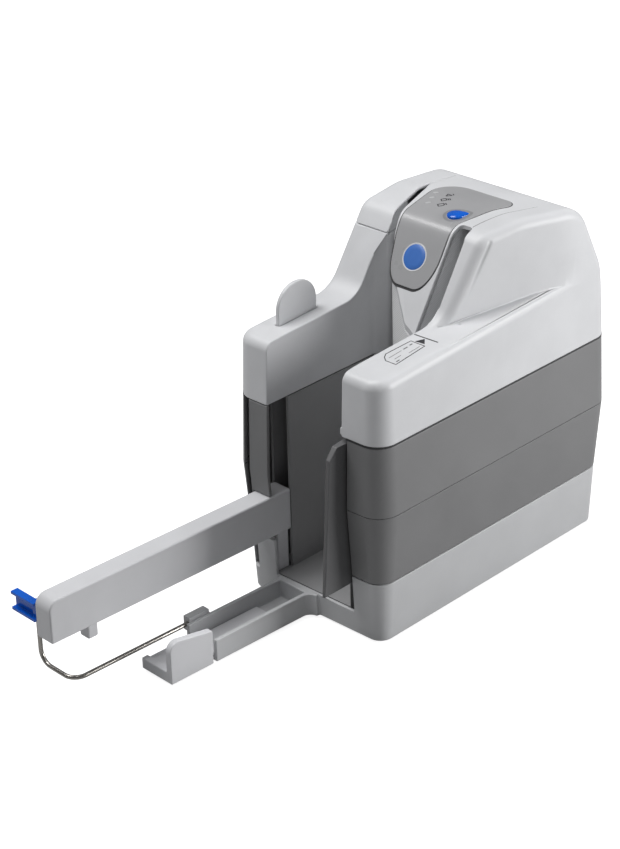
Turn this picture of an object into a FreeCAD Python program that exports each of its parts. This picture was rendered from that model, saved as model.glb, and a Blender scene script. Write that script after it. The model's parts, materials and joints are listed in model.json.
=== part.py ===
import FreeCAD, Part
import math
import os
import re
import Sketcher

# Upright desk scanner for cheques and pages, in millimetres, +Z up.
# While it is built, X runs from the pocket end to the tall end, Y from the
# front side to the rear side, and Z from the table. The last step moves the
# whole object so that its origin is under the middle of its outer box.

SIZES = {
    # Housing outline, taken at the seam between base and bands
    "body_length": 226.0, "body_width": 122.0, "corner_radius": 12.0,
    "shell_wall": 2.5, "shell_gap": 0.4, "overrun": 30.0, "running_gap": 0.3,
    # Heights of the housing's layers, and how far each seam stands out
    "foot_height": 2.0, "base_top": 45.0, "mid_line_share": 0.5025,
    "top_seam": 144.5, "base_draft": 2.4, "mid_bulge": 4.0, "seam_bulge": 2.4,
    "cover_lean": 3.9,
    # Side profile of the covers
    "shoulder_height": 186.5, "shoulder_rise": 5.0, "shoulder_foot_share": 0.3717,
    "shoulder_foot_round_share": 0.0973, "brow_share": 0.5155, "hump_rise": 51.5,
    "brow_round_share": 0.062, "crown_share": 0.6637, "crown_rise": 4.0,
    "crown_round_share": 0.2655, "nape_share": 0.885, "nape_round_share": 0.115,
    "tail_share": 0.9801, "tail_rise": 9.5, "tail_round_share": 0.177, "rim_round": 7.0,
    # Front side of the hump, set back above the shoulder
    "set_back": 18.8, "set_back_share": 0.4265, "set_back_end_share": 0.823,
    "set_back_round_share": 0.531, "ledge_end_share": 0.885,
    # Front slot, island and rear slot, seen from above
    "bay_front": 30.0, "island_front": 40.0, "slot_end_share": 0.5487,
    "slot_round": 3.0, "bay_margin": 27.4, "rear_margin": 23.5,
    "cap_end_share": 0.8761, "cap_depth": 14.0, "rear_slot": 4.5,
    "nose_low_share": 0.3451, "nose_mid_share": 0.3584, "nose_mid_depth_share": 0.188,
    "nose_top_share": 0.4381, "nose_top_depth_share": 0.6496, "heel_share": 0.4867,
    "heel_depth_share": 0.7607, "flank_share": 0.6637, "flank_depth_share": 0.9231,
    "turn_share": 0.708, "nose_round_share": 0.3077, "rear_nose_share": 0.4336,
    "rear_wall_share": 0.5929, "slot_close_share": 0.7788,
    # Track guides and floor
    "guide_wall": 2.0, "track_gap": 4.0, "guide_start": 17.0,
    "funnel_start_share": 0.292, "funnel_end_share": 0.3451, "guide_drop": 0.5,
    "guide_depth": 17.0, "tall_share": 0.5664, "floor_top": 18.0,
    "floor_wall": 3.0, "exit_inset": 11.0, "exit_width": 6.0, "exit_drop": 4.5,
    "return_inset": 6.6, "post_radius": 3.0,
    # Hopper tray, its extension and the arm, in the turned pocket frame
    "pocket_turn": 2.78, "tray_inset": 31.6, "tray_width": 29.0,
    "tray_length": 82.0, "tray_height": 16.0, "tray_wall": 3.0, "tray_fillet": 6.0,
    "slit": 2.5, "flap_length": 35.2, "flap_low": 24.4, "flap_high": 30.7,
    "flap_wall": 5.0, "flap_round": 7.0, "tongue_length": 60.0,
    "tongue_wall": 2.4, "step_height": 6.0, "lip_width": 5.0, "lip_height": 2.0,
    "arm_front": 31.0, "arm_width": 15.0, "arm_reach": 186.0, "arm_bottom": 48.0,
    "arm_top": 78.0, "arm_round": 8.0, "arm_root": 14.0, "arm_edge": 1.5,
    "arm_foot": 10.0, "block_inset": 38.0, "block_length": 8.0, "block_drop": 11.0,
    # Wire and stop of the pocket
    "wire_radius": 1.5, "wire_height": 16.0, "wire_standoff": 1.9,
    "wire_start_inset": 21.0, "wire_inset": 14.0, "wire_cross_out": 17.2,
    "wire_top_rise": 4.0, "wire_bend": 9.0, "wire_clearance": 0.06,
    "wire_block": 18.0, "wire_block_depth": 6.0, "wire_block_gap": 1.2, "stop_length": 23.0,
    "stop_drop": 1.0, "stop_height": 13.5, "stop_wall": 2.2, "stop_flange": 9.0,
    "stop_socket": 4.4,
    # Flag at the mouth
    "flag_x": 5.0, "flag_inset": 0.5, "flag_root": 3.1, "flag_bottom": 39.0,
    "flag_drop": 3.5, "flag_reach_top": 17.0, "flag_reach": 24.0,
    "flag_tip": 2.4, "flag_edge_share": 0.25, "flag_chamfer": 7.0,
    "mouth_inset": 4.5, "mouth_depth": 9.0,
    "hinge_radius": 1.5, "hinge_clearance": 0.06, "return_depth": 13.0,
    "hinge_lug": 5.0,
    # Control panel on the island
    "panel_layer": 0.6, "panel_low": 30.5, "panel_near_share": 0.0342, "panel_right_share": 0.7522,
    "panel_left_share": 0.4115, "panel_far_share": 0.812, "panel_tip_share": 0.3587,
    "panel_end_share": 0.5422, "button_share": 0.581, "button_depth_share": 0.1744,
    "button_radius": 6.5, "button_rise": 0.9, "button_length": 8.8,
    "button_flange": 1.2, "button_flange_wall": 1.6, "button_edge": 2.0,
    "button_travel": 1.0, "badge_share": 0.4615, "badge_depth_share": 0.3829,
    "badge_radius": 9.5, "badge_layer": 0.4, "window_radius": 1.3,
    "window_share": 0.5938, "window_depth_share": 0.6427, "window_step": 6.8,
    "board_wall": 1.6, "board_drop": 7.6, "switch_width": 6.0,
    # Rollers, shafts and drive
    "roller_radius": 8.0, "roller_show": 1.2, "pinch_radius": 6.0,
    "shaft_radius": 2.5, "pin_radius": 1.5, "shaft_clearance": 0.05,
    "tyre_height": 18.0, "low_tyre": 42.0, "high_tyre_drop": 48.5, "tyre_wall": 3.0,
    "shaft_drop": 16.5, "bearing_wall": 2.0, "bearing_drop": 22.5,
    "plate_lobe_share": 0.9, "plate_lip_share": 0.125,
    "lug_wall": 2.0, "lug_gap": 1.0, "feed_share": 0.4956, "drive_share": 0.6637,
    "pulley_radius": 8.0, "pulley_height": 5.0, "pulley_bottom": 7.0,
    "motor_inset": 16.5, "motor_depth": 5.4, "motor_radius": 12.0,
    "motor_height": 40.0, "motor_shaft_share": 0.25, "motor_pulley": 6.0,
    "belt_wall": 1.2,
    "belt_gap": 0.05, "belt_width": 4.0,
    # Readers, printer and electronics
    "image_share": 0.5796, "image_width": 12.0, "image_depth": 14.0,
    "image_drop": 21.0, "glass_wall": 1.0, "magnet_share": 0.4071,
    "magnet_width": 12.0, "magnet_depth": 9.0, "magnet_low": 24.0,
    "magnet_height": 14.0, "ink_share": 0.6106, "ink_length": 26.0,
    "ink_inset": 14.0, "ink_depth": 9.0, "ink_drop": 18.5, "ink_height": 46.0,
    "cradle_wall": 3.0, "circuit_inset": 7.5, "circuit_length": 46.0,
    "circuit_end_inset": 12.0, "circuit_top": 110.0, "socket_height": 11.0,
    "power_inset": 22.0, "power_width": 10.0, "data_inset": 42.0,
    "data_width": 12.0, "socket_z": 23.0, "socket_inset": 1.0,
    # Rear tab, cap hinge, feet and screws
    "tab_start": 22.0, "tab_width": 35.0, "tab_inset": 16.5, "tab_wall": 3.0,
    "tab_rise": 27.5, "tab_round": 16.5, "cap_knuckle": 2.6, "cap_pin": 1.2,
    "knuckle_length": 12.0, "cap_hinge_out": 1.9, "cap_hinge_rise": 0.2,
    "hinge_low_share": 0.5398, "hinge_high_share": 0.7301, "leaf_wall": 2.0,
    "foot_radius": 7.0, "foot_inset": 16.0, "screw_radius": 2.5,
    "screw_head": 1.2, "screw_inset": 32.0,
}

# Places that follow from the sizes, so that neighbours keep together
PLACES = {
    "mid_line": "base_top + mid_line_share * (top_seam - base_top)",
    "shoulder_foot": "shoulder_foot_share * body_length",
    "shoulder_foot_height": "shoulder_height + shoulder_rise",
    "shoulder_foot_round": "shoulder_foot_round_share * body_length",
    "brow_place": "brow_share * body_length",
    "brow_round": "brow_round_share * body_length",
    "brow_height": "shoulder_foot_height + hump_rise",
    "crown_place": "crown_share * body_length",
    "crown_height": "brow_height + crown_rise",
    "crown_round": "crown_round_share * body_length",
    "nape_place": "nape_share * body_length",
    "nape_height": "brow_height",
    "nape_round": "nape_round_share * body_length",
    "tail_place": "tail_share * body_length",
    "tail_height": "shoulder_height + tail_rise",
    "tail_round": "tail_round_share * body_length",
    "set_back_place": "set_back_share * body_length",
    "set_back_end": "set_back_end_share * body_length",
    "set_back_round": "set_back_round_share * body_length",
    "ledge_end": "ledge_end_share * body_length",
    "slot_end": "slot_end_share * body_length",
    "bay_rear": "body_width - bay_margin",
    "turn_y": "body_width - rear_margin",
    "island_depth": "turn_y - island_front",
    "turn_radius": "island_depth / 2",
    "cap_end": "cap_end_share * body_length",
    "cap_seam": "brow_height - cap_depth",
    "nose_low": "nose_low_share * body_length",
    "nose_mid": "nose_mid_share * body_length",
    "nose_mid_y": "island_front + nose_mid_depth_share * island_depth",
    "nose_top": "nose_top_share * body_length",
    "nose_top_y": "island_front + nose_top_depth_share * island_depth",
    "heel_place": "heel_share * body_length",
    "heel_y": "island_front + heel_depth_share * island_depth",
    "flank_place": "flank_share * body_length",
    "flank_y": "island_front + flank_depth_share * island_depth",
    "turn_centre": "turn_share * body_length",
    "nose_round": "nose_round_share * turn_radius",
    "rear_nose": "rear_nose_share * body_length",
    "rear_wall_end": "rear_wall_share * body_length",
    "slot_close": "slot_close_share * body_length",
    "funnel_start": "funnel_start_share * body_length",
    "funnel_end": "funnel_end_share * body_length",
    "guide_low_top": "top_seam - guide_drop",
    "guide_top": "brow_height - guide_depth",
    "tall_start": "tall_share * body_length",
    "exit_front": "body_width - exit_inset",
    "exit_top": "top_seam - exit_drop",
    "return_end": "body_width - return_inset",
    "tray_front": "bay_rear - tray_inset",
    "block_start": "arm_reach - block_inset",
    "wire_line": "tray_width + wire_standoff",
    "wire_start": "tray_length - wire_start_inset",
    "wire_reach": "arm_reach - wire_inset",
    "wire_cross": "arm_front + arm_width + wire_cross_out",
    "wire_top": "arm_bottom + wire_top_rise",
    "stop_bottom": "arm_bottom - stop_drop",
    "flag_y": "bay_front - flag_inset",
    "flag_top": "top_seam - flag_drop",
    "mouth_front": "bay_front - mouth_inset",
    "panel_near": "island_front + panel_near_share * island_depth",
    "panel_right": "panel_right_share * body_length",
    "panel_left": "panel_left_share * body_length",
    "panel_far": "island_front + panel_far_share * island_depth",
    "panel_tip": "panel_tip_share * turn_radius",
    "panel_end": "panel_end_share * turn_radius",
    "button_x": "button_share * body_length",
    "button_y": "island_front + button_depth_share * island_depth",
    "button_top": "crown_height + button_rise",
    "button_bottom": "button_top - button_length",
    "badge_x": "badge_share * body_length",
    "badge_y": "island_front + badge_depth_share * island_depth",
    "window_x": "window_share * body_length",
    "window_y": "island_front + window_depth_share * island_depth",
    "board_height": "button_bottom - board_drop",
    "high_tyre": "top_seam - high_tyre_drop",
    "shaft_top": "top_seam - shaft_drop",
    "bearing_height": "top_seam - bearing_drop",
    "feed_x": "feed_share * body_length",
    "drive_x": "drive_share * body_length",
    "motor_x": "body_length - motor_inset",
    "motor_y": "island_front + motor_depth",
    "image_x": "image_share * body_length",
    "image_top": "brow_height - image_drop",
    "magnet_x": "magnet_share * body_length",
    "ink_x": "ink_share * body_length",
    "ink_y": "body_width - ink_inset",
    "ink_bottom": "shoulder_height - ink_drop",
    "ink_top": "ink_bottom + ink_height",
    "circuit_y": "body_width - circuit_inset",
    "circuit_end": "body_length - circuit_end_inset",
    "circuit_start": "circuit_end - circuit_length",
    "power_x": "body_length - power_inset",
    "data_x": "body_length - data_inset",
    "socket_show": "body_width - socket_inset",
    "tab_y": "body_width - tab_inset",
    "tab_top": "shoulder_height + tab_rise",
    "cap_hinge_y": "body_width + cap_hinge_out",
    "cap_hinge_z": "cap_seam + cap_hinge_rise",
    "hinge_low_x": "hinge_low_share * body_length",
    "hinge_high_x": "hinge_high_share * body_length",
}

doc = FreeCAD.newDocument("Scanner")
sheet = doc.addObject("Spreadsheet::Sheet", "Sizes")
for row, (alias, value) in enumerate(SIZES.items(), start=1):
    sheet.set("A%d" % row, alias)
    sheet.set("B%d" % row, str(value))
    sheet.setAlias("B%d" % row, alias)
doc.recompute()

Vector = FreeCAD.Vector
UP = Vector(0, 0, 1)
PARTS = []


def bound(text):
    """The text with each place worked out and each size read from the sheet."""
    def swap(name):
        word = name.group(0)
        return "(" + bound(PLACES[word]) + ")" if word in PLACES else "Sizes." + word
    return re.sub(r"[a-z][a-z_]*[a-z]", swap, text)


def size(text):
    """The value of one size or of a sum of sizes."""
    return float(sheet.evalExpression(bound(text)))


def keep(item, label, turned=False):
    """Name a finished sub-part, place it and put it on the list of parts."""
    item.Label = label
    if turned:
        item.Placement = pocket_frame()
    PARTS.append(item)
    return item


def feature(label, shape, turned=False):
    """Sub-part whose form comes from lofts, offsets or a sweep."""
    item = doc.addObject("Part::Feature", label)
    item.Shape = shape
    return keep(item, label, turned)


def pocket_frame():
    """Frame of the tray and the arm, turned a little towards the rear."""
    turn = FreeCAD.Rotation(UP, -size("pocket_turn"))
    return FreeCAD.Placement(Vector(0, size("tray_front"), 0), turn)


def body(label):
    return doc.addObject("PartDesign::Body", label)


def sketch_on(owner, role, level):
    """Empty sketch on one of the body's own planes, lifted by a bound level."""
    sketch = owner.newObject("Sketcher::SketchObject", owner.Name + "_outline")
    plane = [item for item in owner.Origin.OriginFeatures if item.Role == role][0]
    sketch.AttachmentSupport = [(plane, "")]
    sketch.MapMode = "FlatFace"
    sketch.setExpression(".AttachmentOffset.Base.z", bound(level))
    return sketch


def tie_point(sketch, shape, point, place, texts):
    """Tie a point of the sketch to two sizes in X and Y."""
    for kind, text, value in (("DistanceX", texts[0], place.x),
                              ("DistanceY", texts[1], place.y)):
        tie = Sketcher.Constraint(kind, -1, 1, shape, point, value)
        number = sketch.addConstraint(tie)
        sketch.setExpression("Constraints[%d]" % number, bound(text))


def polygon(corners):
    """Drawing function for a closed outline through bound corners."""
    def draw(sketch):
        points = [Vector(size(x), size(y), 0) for x, y in corners]
        count = len(points)
        for index in range(count):
            side = Part.LineSegment(points[index], points[(index + 1) % count])
            sketch.addGeometry(side, False)
        for index in range(count):
            joint = Sketcher.Constraint("Coincident", index, 2, (index + 1) % count, 1)
            sketch.addConstraint(joint)
            tie_point(sketch, index, 1, points[index], corners[index])
    return draw


def circle(x, y, radius):
    """Drawing function for a circle with a bound centre and radius."""
    def draw(sketch):
        centre = Vector(size(x), size(y), 0)
        number = sketch.addGeometry(Part.Circle(centre, UP, size(radius)), False)
        tie_point(sketch, number, 3, centre, (x, y))
        tie = sketch.addConstraint(Sketcher.Constraint("Radius", number, size(radius)))
        sketch.setExpression("Constraints[%d]" % tie, bound(radius))
    return draw


def rectangle(x_low, x_high, y_low, y_high):
    return polygon([(x_low, y_low), (x_high, y_low), (x_high, y_high), (x_low, y_high)])


def pad(owner, draw, length, level="0", role="XY_Plane"):
    """Add material beyond the level."""
    sketch = sketch_on(owner, role, level)
    draw(sketch)
    grown = owner.newObject("PartDesign::Pad", owner.Name + "_pad")
    grown.Profile = sketch
    grown.setExpression("Length", bound(length))
    sketch.Visibility = False
    doc.recompute()
    return grown


def pocket(owner, draw, length, level="0", role="XY_Plane"):
    """Cut away what lies beyond the level, and check that something went."""
    before = owner.Shape.Volume
    sketch = sketch_on(owner, role, level)
    draw(sketch)
    cut = owner.newObject("PartDesign::Pocket", owner.Name + "_pocket")
    cut.Profile = sketch
    cut.Reversed = True
    cut.setExpression("Length", bound(length))
    doc.recompute()
    if owner.Shape.Volume >= before:
        raise RuntimeError(owner.Name + " has a pocket that cuts nothing")
    return cut


def round_edges(owner, radius, wanted):
    """Round the edges of the body that the function wanted picks."""
    tip = owner.Tip
    names = ["Edge%d" % number for number, edge in enumerate(tip.Shape.Edges, start=1)
             if wanted(edge)]
    fillet = owner.newObject("PartDesign::Fillet", owner.Name + "_round")
    fillet.Base = (tip, names)
    fillet.setExpression("Radius", bound(radius))
    doc.recompute()
    return fillet


def rounded_wire(corners):
    """Closed wire through corners (x, y, z, radius), with an arc in each corner."""
    ends = []
    for index, (x, y, z, radius) in enumerate(corners):
        corner = Vector(x, y, z)
        back = (Vector(*corners[index - 1][:3]) - corner).normalize()
        ahead = (Vector(*corners[(index + 1) % len(corners)][:3]) - corner).normalize()
        half = back.getAngle(ahead) / 2
        if radius <= 0:
            ends.append((corner, None, corner))
            continue
        reach = radius / math.tan(half)
        inwards = (back + ahead).normalize()
        middle = corner + inwards * (radius / math.sin(half) - radius)
        ends.append((corner + back * reach, middle, corner + ahead * reach))
    edges = []
    for index, (start, middle, end) in enumerate(ends):
        if middle is not None:
            edges.append(Part.Arc(start, middle, end).toShape())
        following = ends[(index + 1) % len(ends)][0]
        if not following.isEqual(end, 1e-6):
            edges.append(Part.LineSegment(end, following).toShape())
    return Part.Wire(edges)


def prism(corners, low, high):
    """Solid that stands on a plan outline of (x, y, radius) corners."""
    wire = rounded_wire([(x, y, low, radius) for x, y, radius in corners])
    return Part.Face(wire).extrude(Vector(0, 0, high - low))


def box(x_low, x_high, y_low, y_high, z_low, z_high):
    return Part.makeBox(x_high - x_low, y_high - y_low, z_high - z_low,
                        Vector(x_low, y_low, z_low))


def rod(radius, x, y, z_low, z_high):
    return Part.makeCylinder(radius, z_high - z_low, Vector(x, y, z_low), UP)


def outline(level, offset, set_back=False):
    """Rounded rectangle of the housing at one height, grown by offset."""
    radius = size("corner_radius") + offset
    x_high, y_high = size("body_length") + offset, size("body_width") + offset
    front = [(-offset, -offset, level, radius)]
    if set_back:
        end = size("set_back_end")
        fall = size("set_back / (set_back_end - set_back_place)")
        front = [(-offset, fall * (end + offset) - offset, level, radius),
                 (end, -offset, level, size("set_back_round"))]
    return rounded_wire(front + [(x_high, -offset, level, radius),
                                 (x_high, y_high, level, radius),
                                 (-offset, y_high, level, radius)])


def layer(low, low_offset, high, high_offset, set_back=False):
    """Solid between two outlines of the housing."""
    ends = [outline(low, low_offset, set_back), outline(high, high_offset, set_back)]
    return Part.makeLoft(ends, True, True)


def hump_profile(shoulder):
    """Side profile of the covers, with the front shoulder or straight down."""
    low = size("top_seam - overrun")
    behind = size("body_length + mid_bulge + shell_wall")
    brow = size("brow_place")
    tail = [(brow, size("brow_height"), size("brow_round")),
            (size("crown_place"), size("crown_height"), size("crown_round")),
            (size("nape_place"), size("nape_height"), size("nape_round")),
            (size("tail_place"), size("tail_height"), size("tail_round")),
            (behind, size("mid_line"), 0),
            (behind, low, 0)]
    if shoulder:
        return [(-size("overrun"), low, 0),
                (-size("overrun"), size("shoulder_height"), 0),
                (size("shoulder_foot"), size("shoulder_foot_height"),
                 size("shoulder_foot_round"))] + tail
    drop = size("brow_height") - low
    lean = (size("brow_place - shoulder_foot")
            / size("brow_height - shoulder_foot_height"))
    return [(brow - drop * lean, low, 0)] + tail


def is_rim(form, edge):
    """True where a top face meets a side face of the cover form."""
    if edge.BoundBox.ZMax < size("top_seam + shell_wall"):
        return False
    middle = edge.valueAt((edge.FirstParameter + edge.LastParameter) / 2)
    normals = [face.normalAt(*face.Surface.parameter(middle))
               for face in form.ancestorsOfType(edge, Part.Face)]
    return len(normals) == 2 and normals[0].getAngle(normals[1]) > math.pi / 6


def drawn_in(corners, inset):
    """Side profile of (x, z, radius) corners, moved inwards on every side."""
    moved = []
    for index, (x, z, radius) in enumerate(corners):
        back = Vector(corners[index - 1][0] - x, 0, corners[index - 1][1] - z)
        following = corners[(index + 1) % len(corners)]
        ahead = Vector(following[0] - x, 0, following[1] - z)
        half = back.getAngle(ahead) / 2
        out = 1 if back.cross(ahead).y < 0 else -1
        step = (back.normalize() + ahead.normalize()).normalize() * (out * inset / math.sin(half))
        moved.append((x + step.x, z + step.z, max(0, radius - out * inset) if radius else 0))
    return moved


def rounded_form(inset, corners, set_back):
    """Housing outline under one side profile, rounded along its rims."""
    profile = rounded_wire([(x, 0, z, radius) for x, z, radius in drawn_in(corners, inset)])
    slab = Part.Face(profile).extrude(Vector(0, size("body_width + 2 * overrun"), 0))
    slab.translate(Vector(0, -size("overrun"), 0))
    top = size("crown_height + shell_wall")
    ring = layer(size("top_seam"), size("seam_bulge") - inset,
                 top, size("seam_bulge - cover_lean") - inset, set_back)
    form = ring.common(slab)
    rim = [edge for edge in form.Edges if is_rim(form, edge)]
    return form.makeFillet(size("rim_round") - inset, rim)


def hump(inset, shoulder=True):
    """Whole cover form, with the shoulder or with the slope running down."""
    return rounded_form(inset, hump_profile(shoulder), False)


def front_side():
    """Block that holds everything in front of the bay."""
    far = size("overrun")
    return box(-far, size("body_length") + far, -far, size("bay_front"),
               size("top_seam - overrun"), size("button_top") + far)


def front_form(inset):
    """Front of the covers, where the hump stands back above a tapering ledge."""
    high = rounded_form(inset, hump_profile(True), True).common(front_side())
    far, low, end = size("overrun"), size("top_seam - overrun"), size("body_length")
    slope = size("shoulder_rise / (shoulder_foot + overrun)")
    ledge = [(-far, low, 0), (-far, size("shoulder_height"), 0),
             (end, size("shoulder_height") + slope * (end + far), 0), (end, low, 0)]
    step = rounded_form(inset, ledge, False)
    step = step.common(box(-far, size("ledge_end"), -far, size("bay_front"),
                           low, size("crown_height")))
    return high.fuse(step)


def flank_line(shift):
    """Corners of the rear slot's island side, moved by shift towards the rear."""
    return [(size("turn_centre"), size("turn_y") + shift, size("nose_round")),
            (size("flank_place"), size("flank_y") + shift, size("turn_radius")),
            (size("heel_place"), size("heel_y") + shift, size("nose_round"))]


def island_nose():
    return [(size("nose_top"), size("nose_top_y"), size("nose_round")),
            (size("nose_mid"), size("nose_mid_y"), size("nose_round")),
            (size("nose_low"), size("island_front"), 0)]


def front_region():
    """Plan of the main cover: front side, tall end and island."""
    far, wide = size("overrun"), size("body_width + overrun")
    long_end = size("body_length + overrun")
    seam = size("cap_end + shell_gap")
    return ([(-far, -far, 0), (long_end, -far, 0), (long_end, wide, 0),
             (seam, wide, 0), (seam, size("turn_y"), 0)]
            + flank_line(0) + island_nose()
            + [(size("slot_end"), size("island_front"), size("slot_round")),
               (size("slot_end"), size("bay_front"), size("slot_round")),
               (-far, size("bay_front"), 0)])


def front_hollow():
    """Plan of what is cut out under the main cover's skin."""
    far, wide = size("overrun"), size("body_width + overrun")
    long_end = size("body_length + overrun")
    seam = size("cap_end + shell_gap + shell_wall")
    return [(-far, -far, 0), (long_end, -far, 0), (long_end, wide, 0), (seam, wide, 0),
            (seam, size("turn_y") + size("shell_wall"), 0),
            (size("nose_low") - far, size("turn_y") + size("shell_wall"), 0),
            (size("nose_low") - far, size("bay_front"), 0),
            (size("slot_end"), size("bay_front"), 0),
            (size("slot_end"), size("bay_front - shell_wall"), 0),
            (-far, size("bay_front - shell_wall"), 0)]


def rear_region():
    """Plan of the rear housing and of the cap above it."""
    far, wide = size("overrun"), size("body_width + overrun")
    slot, gap = size("rear_slot"), size("shell_gap")
    return [(-far, size("bay_rear"), 0),
            (size("rear_nose"), size("bay_rear"), size("nose_round")),
            (size("heel_place"), size("heel_y") + slot, size("nose_round")),
            (size("flank_place"), size("flank_y") + slot, size("turn_radius")),
            (size("slot_close"), size("turn_y") + gap, size("nose_round")),
            (size("cap_end"), size("turn_y") + gap, 0), (size("cap_end"), wide, 0),
            (-far, wide, 0)]


def rear_hollow():
    """Plan of what is cut out inside the rear housing and the cap."""
    far, wide = size("overrun"), size("body_width + overrun")
    wall, slot, end = size("shell_wall"), size("rear_slot"), size("rear_wall_end")
    share = ((end - size("heel_place")) / size("flank_place - heel_place"))
    end_y = size("heel_y") + slot + share * size("flank_y - heel_y")
    return [(-far, size("bay_rear") + wall, 0),
            (size("rear_nose") + wall / 2, size("bay_rear") + wall, 0),
            (size("heel_place"), size("heel_y") + slot + wall, 0),
            (end, end_y + wall, 0), (end, size("bay_front"), 0),
            (size("cap_end") - wall, size("bay_front"), 0),
            (size("cap_end") - wall, wide, 0), (-far, wide, 0)]


def covers():
    """Main cover, rear housing and hinged rear cap, all from one outer form."""
    far, low = size("overrun"), size("top_seam - overrun")
    high, wall = size("button_top") + far, size("shell_wall")
    base = layer(low, size("seam_bulge") - wall, size("top_seam"),
                 size("seam_bulge") - wall)
    side = front_side()
    form = front_form(0).fuse(hump(0, False).cut(side))
    form = form.common(prism(front_region(), low, high))
    hollow = front_form(wall).fuse([hump(wall, False).cut(side), base])
    main = form.cut(hollow.common(prism(front_hollow(), low, high)))
    main = main.fuse(panel_bosses() + [flag_lug()])
    main = main.cut([button_hole(), flag_bore()]).removeSplitter()
    feature("main_cover", main)

    seam, gap = size("cap_seam"), size("shell_gap")
    rear = hump(0).common(prism(rear_region(), low, high))
    inner = hump(wall).fuse(base)
    rear = rear.cut(inner.common(prism(rear_hollow(), low, high)))
    above = box(-far, size("body_length") + far, -far, size("body_width") + far, seam, high)
    tab = box(size("tab_start") - gap, size("tab_start + tab_width") + gap,
              size("tab_y") - gap, size("tab_y + tab_wall") + gap,
              size("top_seam"), high)
    housing = rear.cut(above).cut(tab).fuse(knuckles(1)).removeSplitter()
    above.translate(Vector(0, 0, gap))
    feature("rear_housing", housing)
    feature("rear_cap", rear.common(above).fuse(knuckles(0)).removeSplitter())


def knuckles(rank):
    """Hinge barrels at the rear; rank 0 is the cap's, rank 1 the housing's."""
    y, z = size("cap_hinge_y"), size("cap_hinge_z")
    leaf, length = size("leaf_wall"), size("knuckle_length")
    gap = size("running_gap")
    barrels = []
    for start in (size("hinge_low_x"), size("hinge_high_x")):
        x = start + rank * (length + gap)
        barrel = Part.makeCylinder(size("cap_knuckle"), length, Vector(x, y, z),
                                   Vector(1, 0, 0))
        rise = size("shell_gap") + leaf if rank == 0 else -leaf
        plate = box(x, x + length, size("body_width - shell_wall"), y,
                    min(z, z + rise), max(z, z + rise))
        skin = size("body_width - shell_wall")
        keep_off = box(x, x + length, skin, y, z - leaf, z + size("shell_gap"))
        plate = plate.cut(keep_off) if rank == 0 else plate
        bore = Part.makeCylinder(size("cap_pin + hinge_clearance"), length,
                                 Vector(x, y, z), Vector(1, 0, 0))
        barrels.append(barrel.fuse(plate).cut(bore))
    return barrels


def cap_pins():
    pins = [Part.makeCylinder(size("cap_pin"), size("2 * knuckle_length + running_gap"),
                              Vector(size(start), size("cap_hinge_y"), size("cap_hinge_z")),
                              Vector(1, 0, 0))
            for start in ("hinge_low_x", "hinge_high_x")]
    feature("cap_hinge_pins", Part.makeCompound(pins))


def flag_lug():
    """Lug under the main cover that holds the top of the flag's pin."""
    reach = size("flag_root + shell_wall")
    x, y = size("flag_x"), size("flag_y")
    seam = size("top_seam")
    return box(x - reach, x + reach, y - reach, size("bay_front") + reach / 2,
               seam, seam + size("hinge_lug"))


def flag_bore():
    low = size("top_seam")
    return rod(size("hinge_radius + hinge_clearance"), size("flag_x"), size("flag_y"),
               low, low + size("hinge_lug"))


def panel_bosses():
    """Two posts under the main cover that carry the panel board."""
    low, high = size("board_height + board_wall"), size("crown_height")
    y = size("button_y")
    step = size("button_radius + 2 * button_flange + post_radius + running_gap")
    under = hump(size("shell_wall / 2"), False)
    return [rod(size("post_radius"), size("button_x") + side * step, y, low,
                high).common(under) for side in (-1, 1)]


def button_hole():
    gap = size("running_gap")
    return rod(size("button_radius") + gap, size("button_x"), size("button_y"),
               size("button_bottom"), size("button_top"))


def base_housing():
    """Base with the fixed tray moulded on, open at the mouth."""
    bottom, top, wall = size("foot_height"), size("base_top"), size("shell_wall")
    draft, far = size("base_draft"), size("overrun")
    shell = layer(bottom, -draft, top, 0)
    slope = draft / (top - bottom)
    floor = bottom + size("tray_wall")
    inner = layer(floor, -draft + slope * (floor - bottom) - wall,
                  top + far, slope * far - wall)
    tray = tray_form()
    mouth = box(-far, size("mouth_depth"), size("mouth_front"), size("bay_rear"),
                size("floor_top"), top + far)
    cut_outs = [mouth, arm_cut(), exit_cut()] + socket_cuts()
    base = shell.cut(inner).fuse(tray.cut(inner)).cut(cut_outs)
    feature("base_housing", base.removeSplitter())


def tray_form():
    """Fixed tray with its channel, in the housing's frame."""
    bottom, wall = size("foot_height"), size("tray_wall")
    depth, length = size("tray_width"), size("tray_length")
    root = size("corner_radius") / 2
    top = bottom + size("tray_height")
    tray = box(-length, root, 0, depth, bottom, top)
    channel = box(-length, -size("seam_bulge"), wall, depth - wall, bottom + wall, top)
    tray = tray.cut(channel)
    radius = size("tray_fillet")
    web = box(-radius, root, -radius, 0, bottom, top)
    web = web.cut(rod(radius, -radius, -radius, bottom, top))
    tray = tray.fuse(web)
    tray.Placement = pocket_frame()
    return tray


def arm_cut():
    """Opening in the end walls that the arm passes through."""
    gap, far = size("running_gap"), size("overrun")
    cut = box(-far, size("arm_root") + gap, size("arm_front") - gap,
              size("arm_front + arm_width") + gap,
              size("arm_bottom") - gap, size("arm_top") + gap)
    cut.Placement = pocket_frame()
    return cut


def exit_cut():
    """Slot in the end wall where documents leave behind the arm."""
    return box(-size("overrun"), size("mouth_depth"), size("exit_front"),
               size("exit_front + exit_width"), size("floor_top"), size("exit_top"))


def socket_cuts():
    gap = size("running_gap")
    low, high = size("socket_z") - gap, size("socket_z + socket_height") + gap
    return [box(size(x) - gap, size(x + " + " + width) + gap, size("circuit_y"),
                size("body_width + overrun"), low, high)
            for x, width in (("power_x", "power_width"), ("data_x", "data_width"))]


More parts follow.
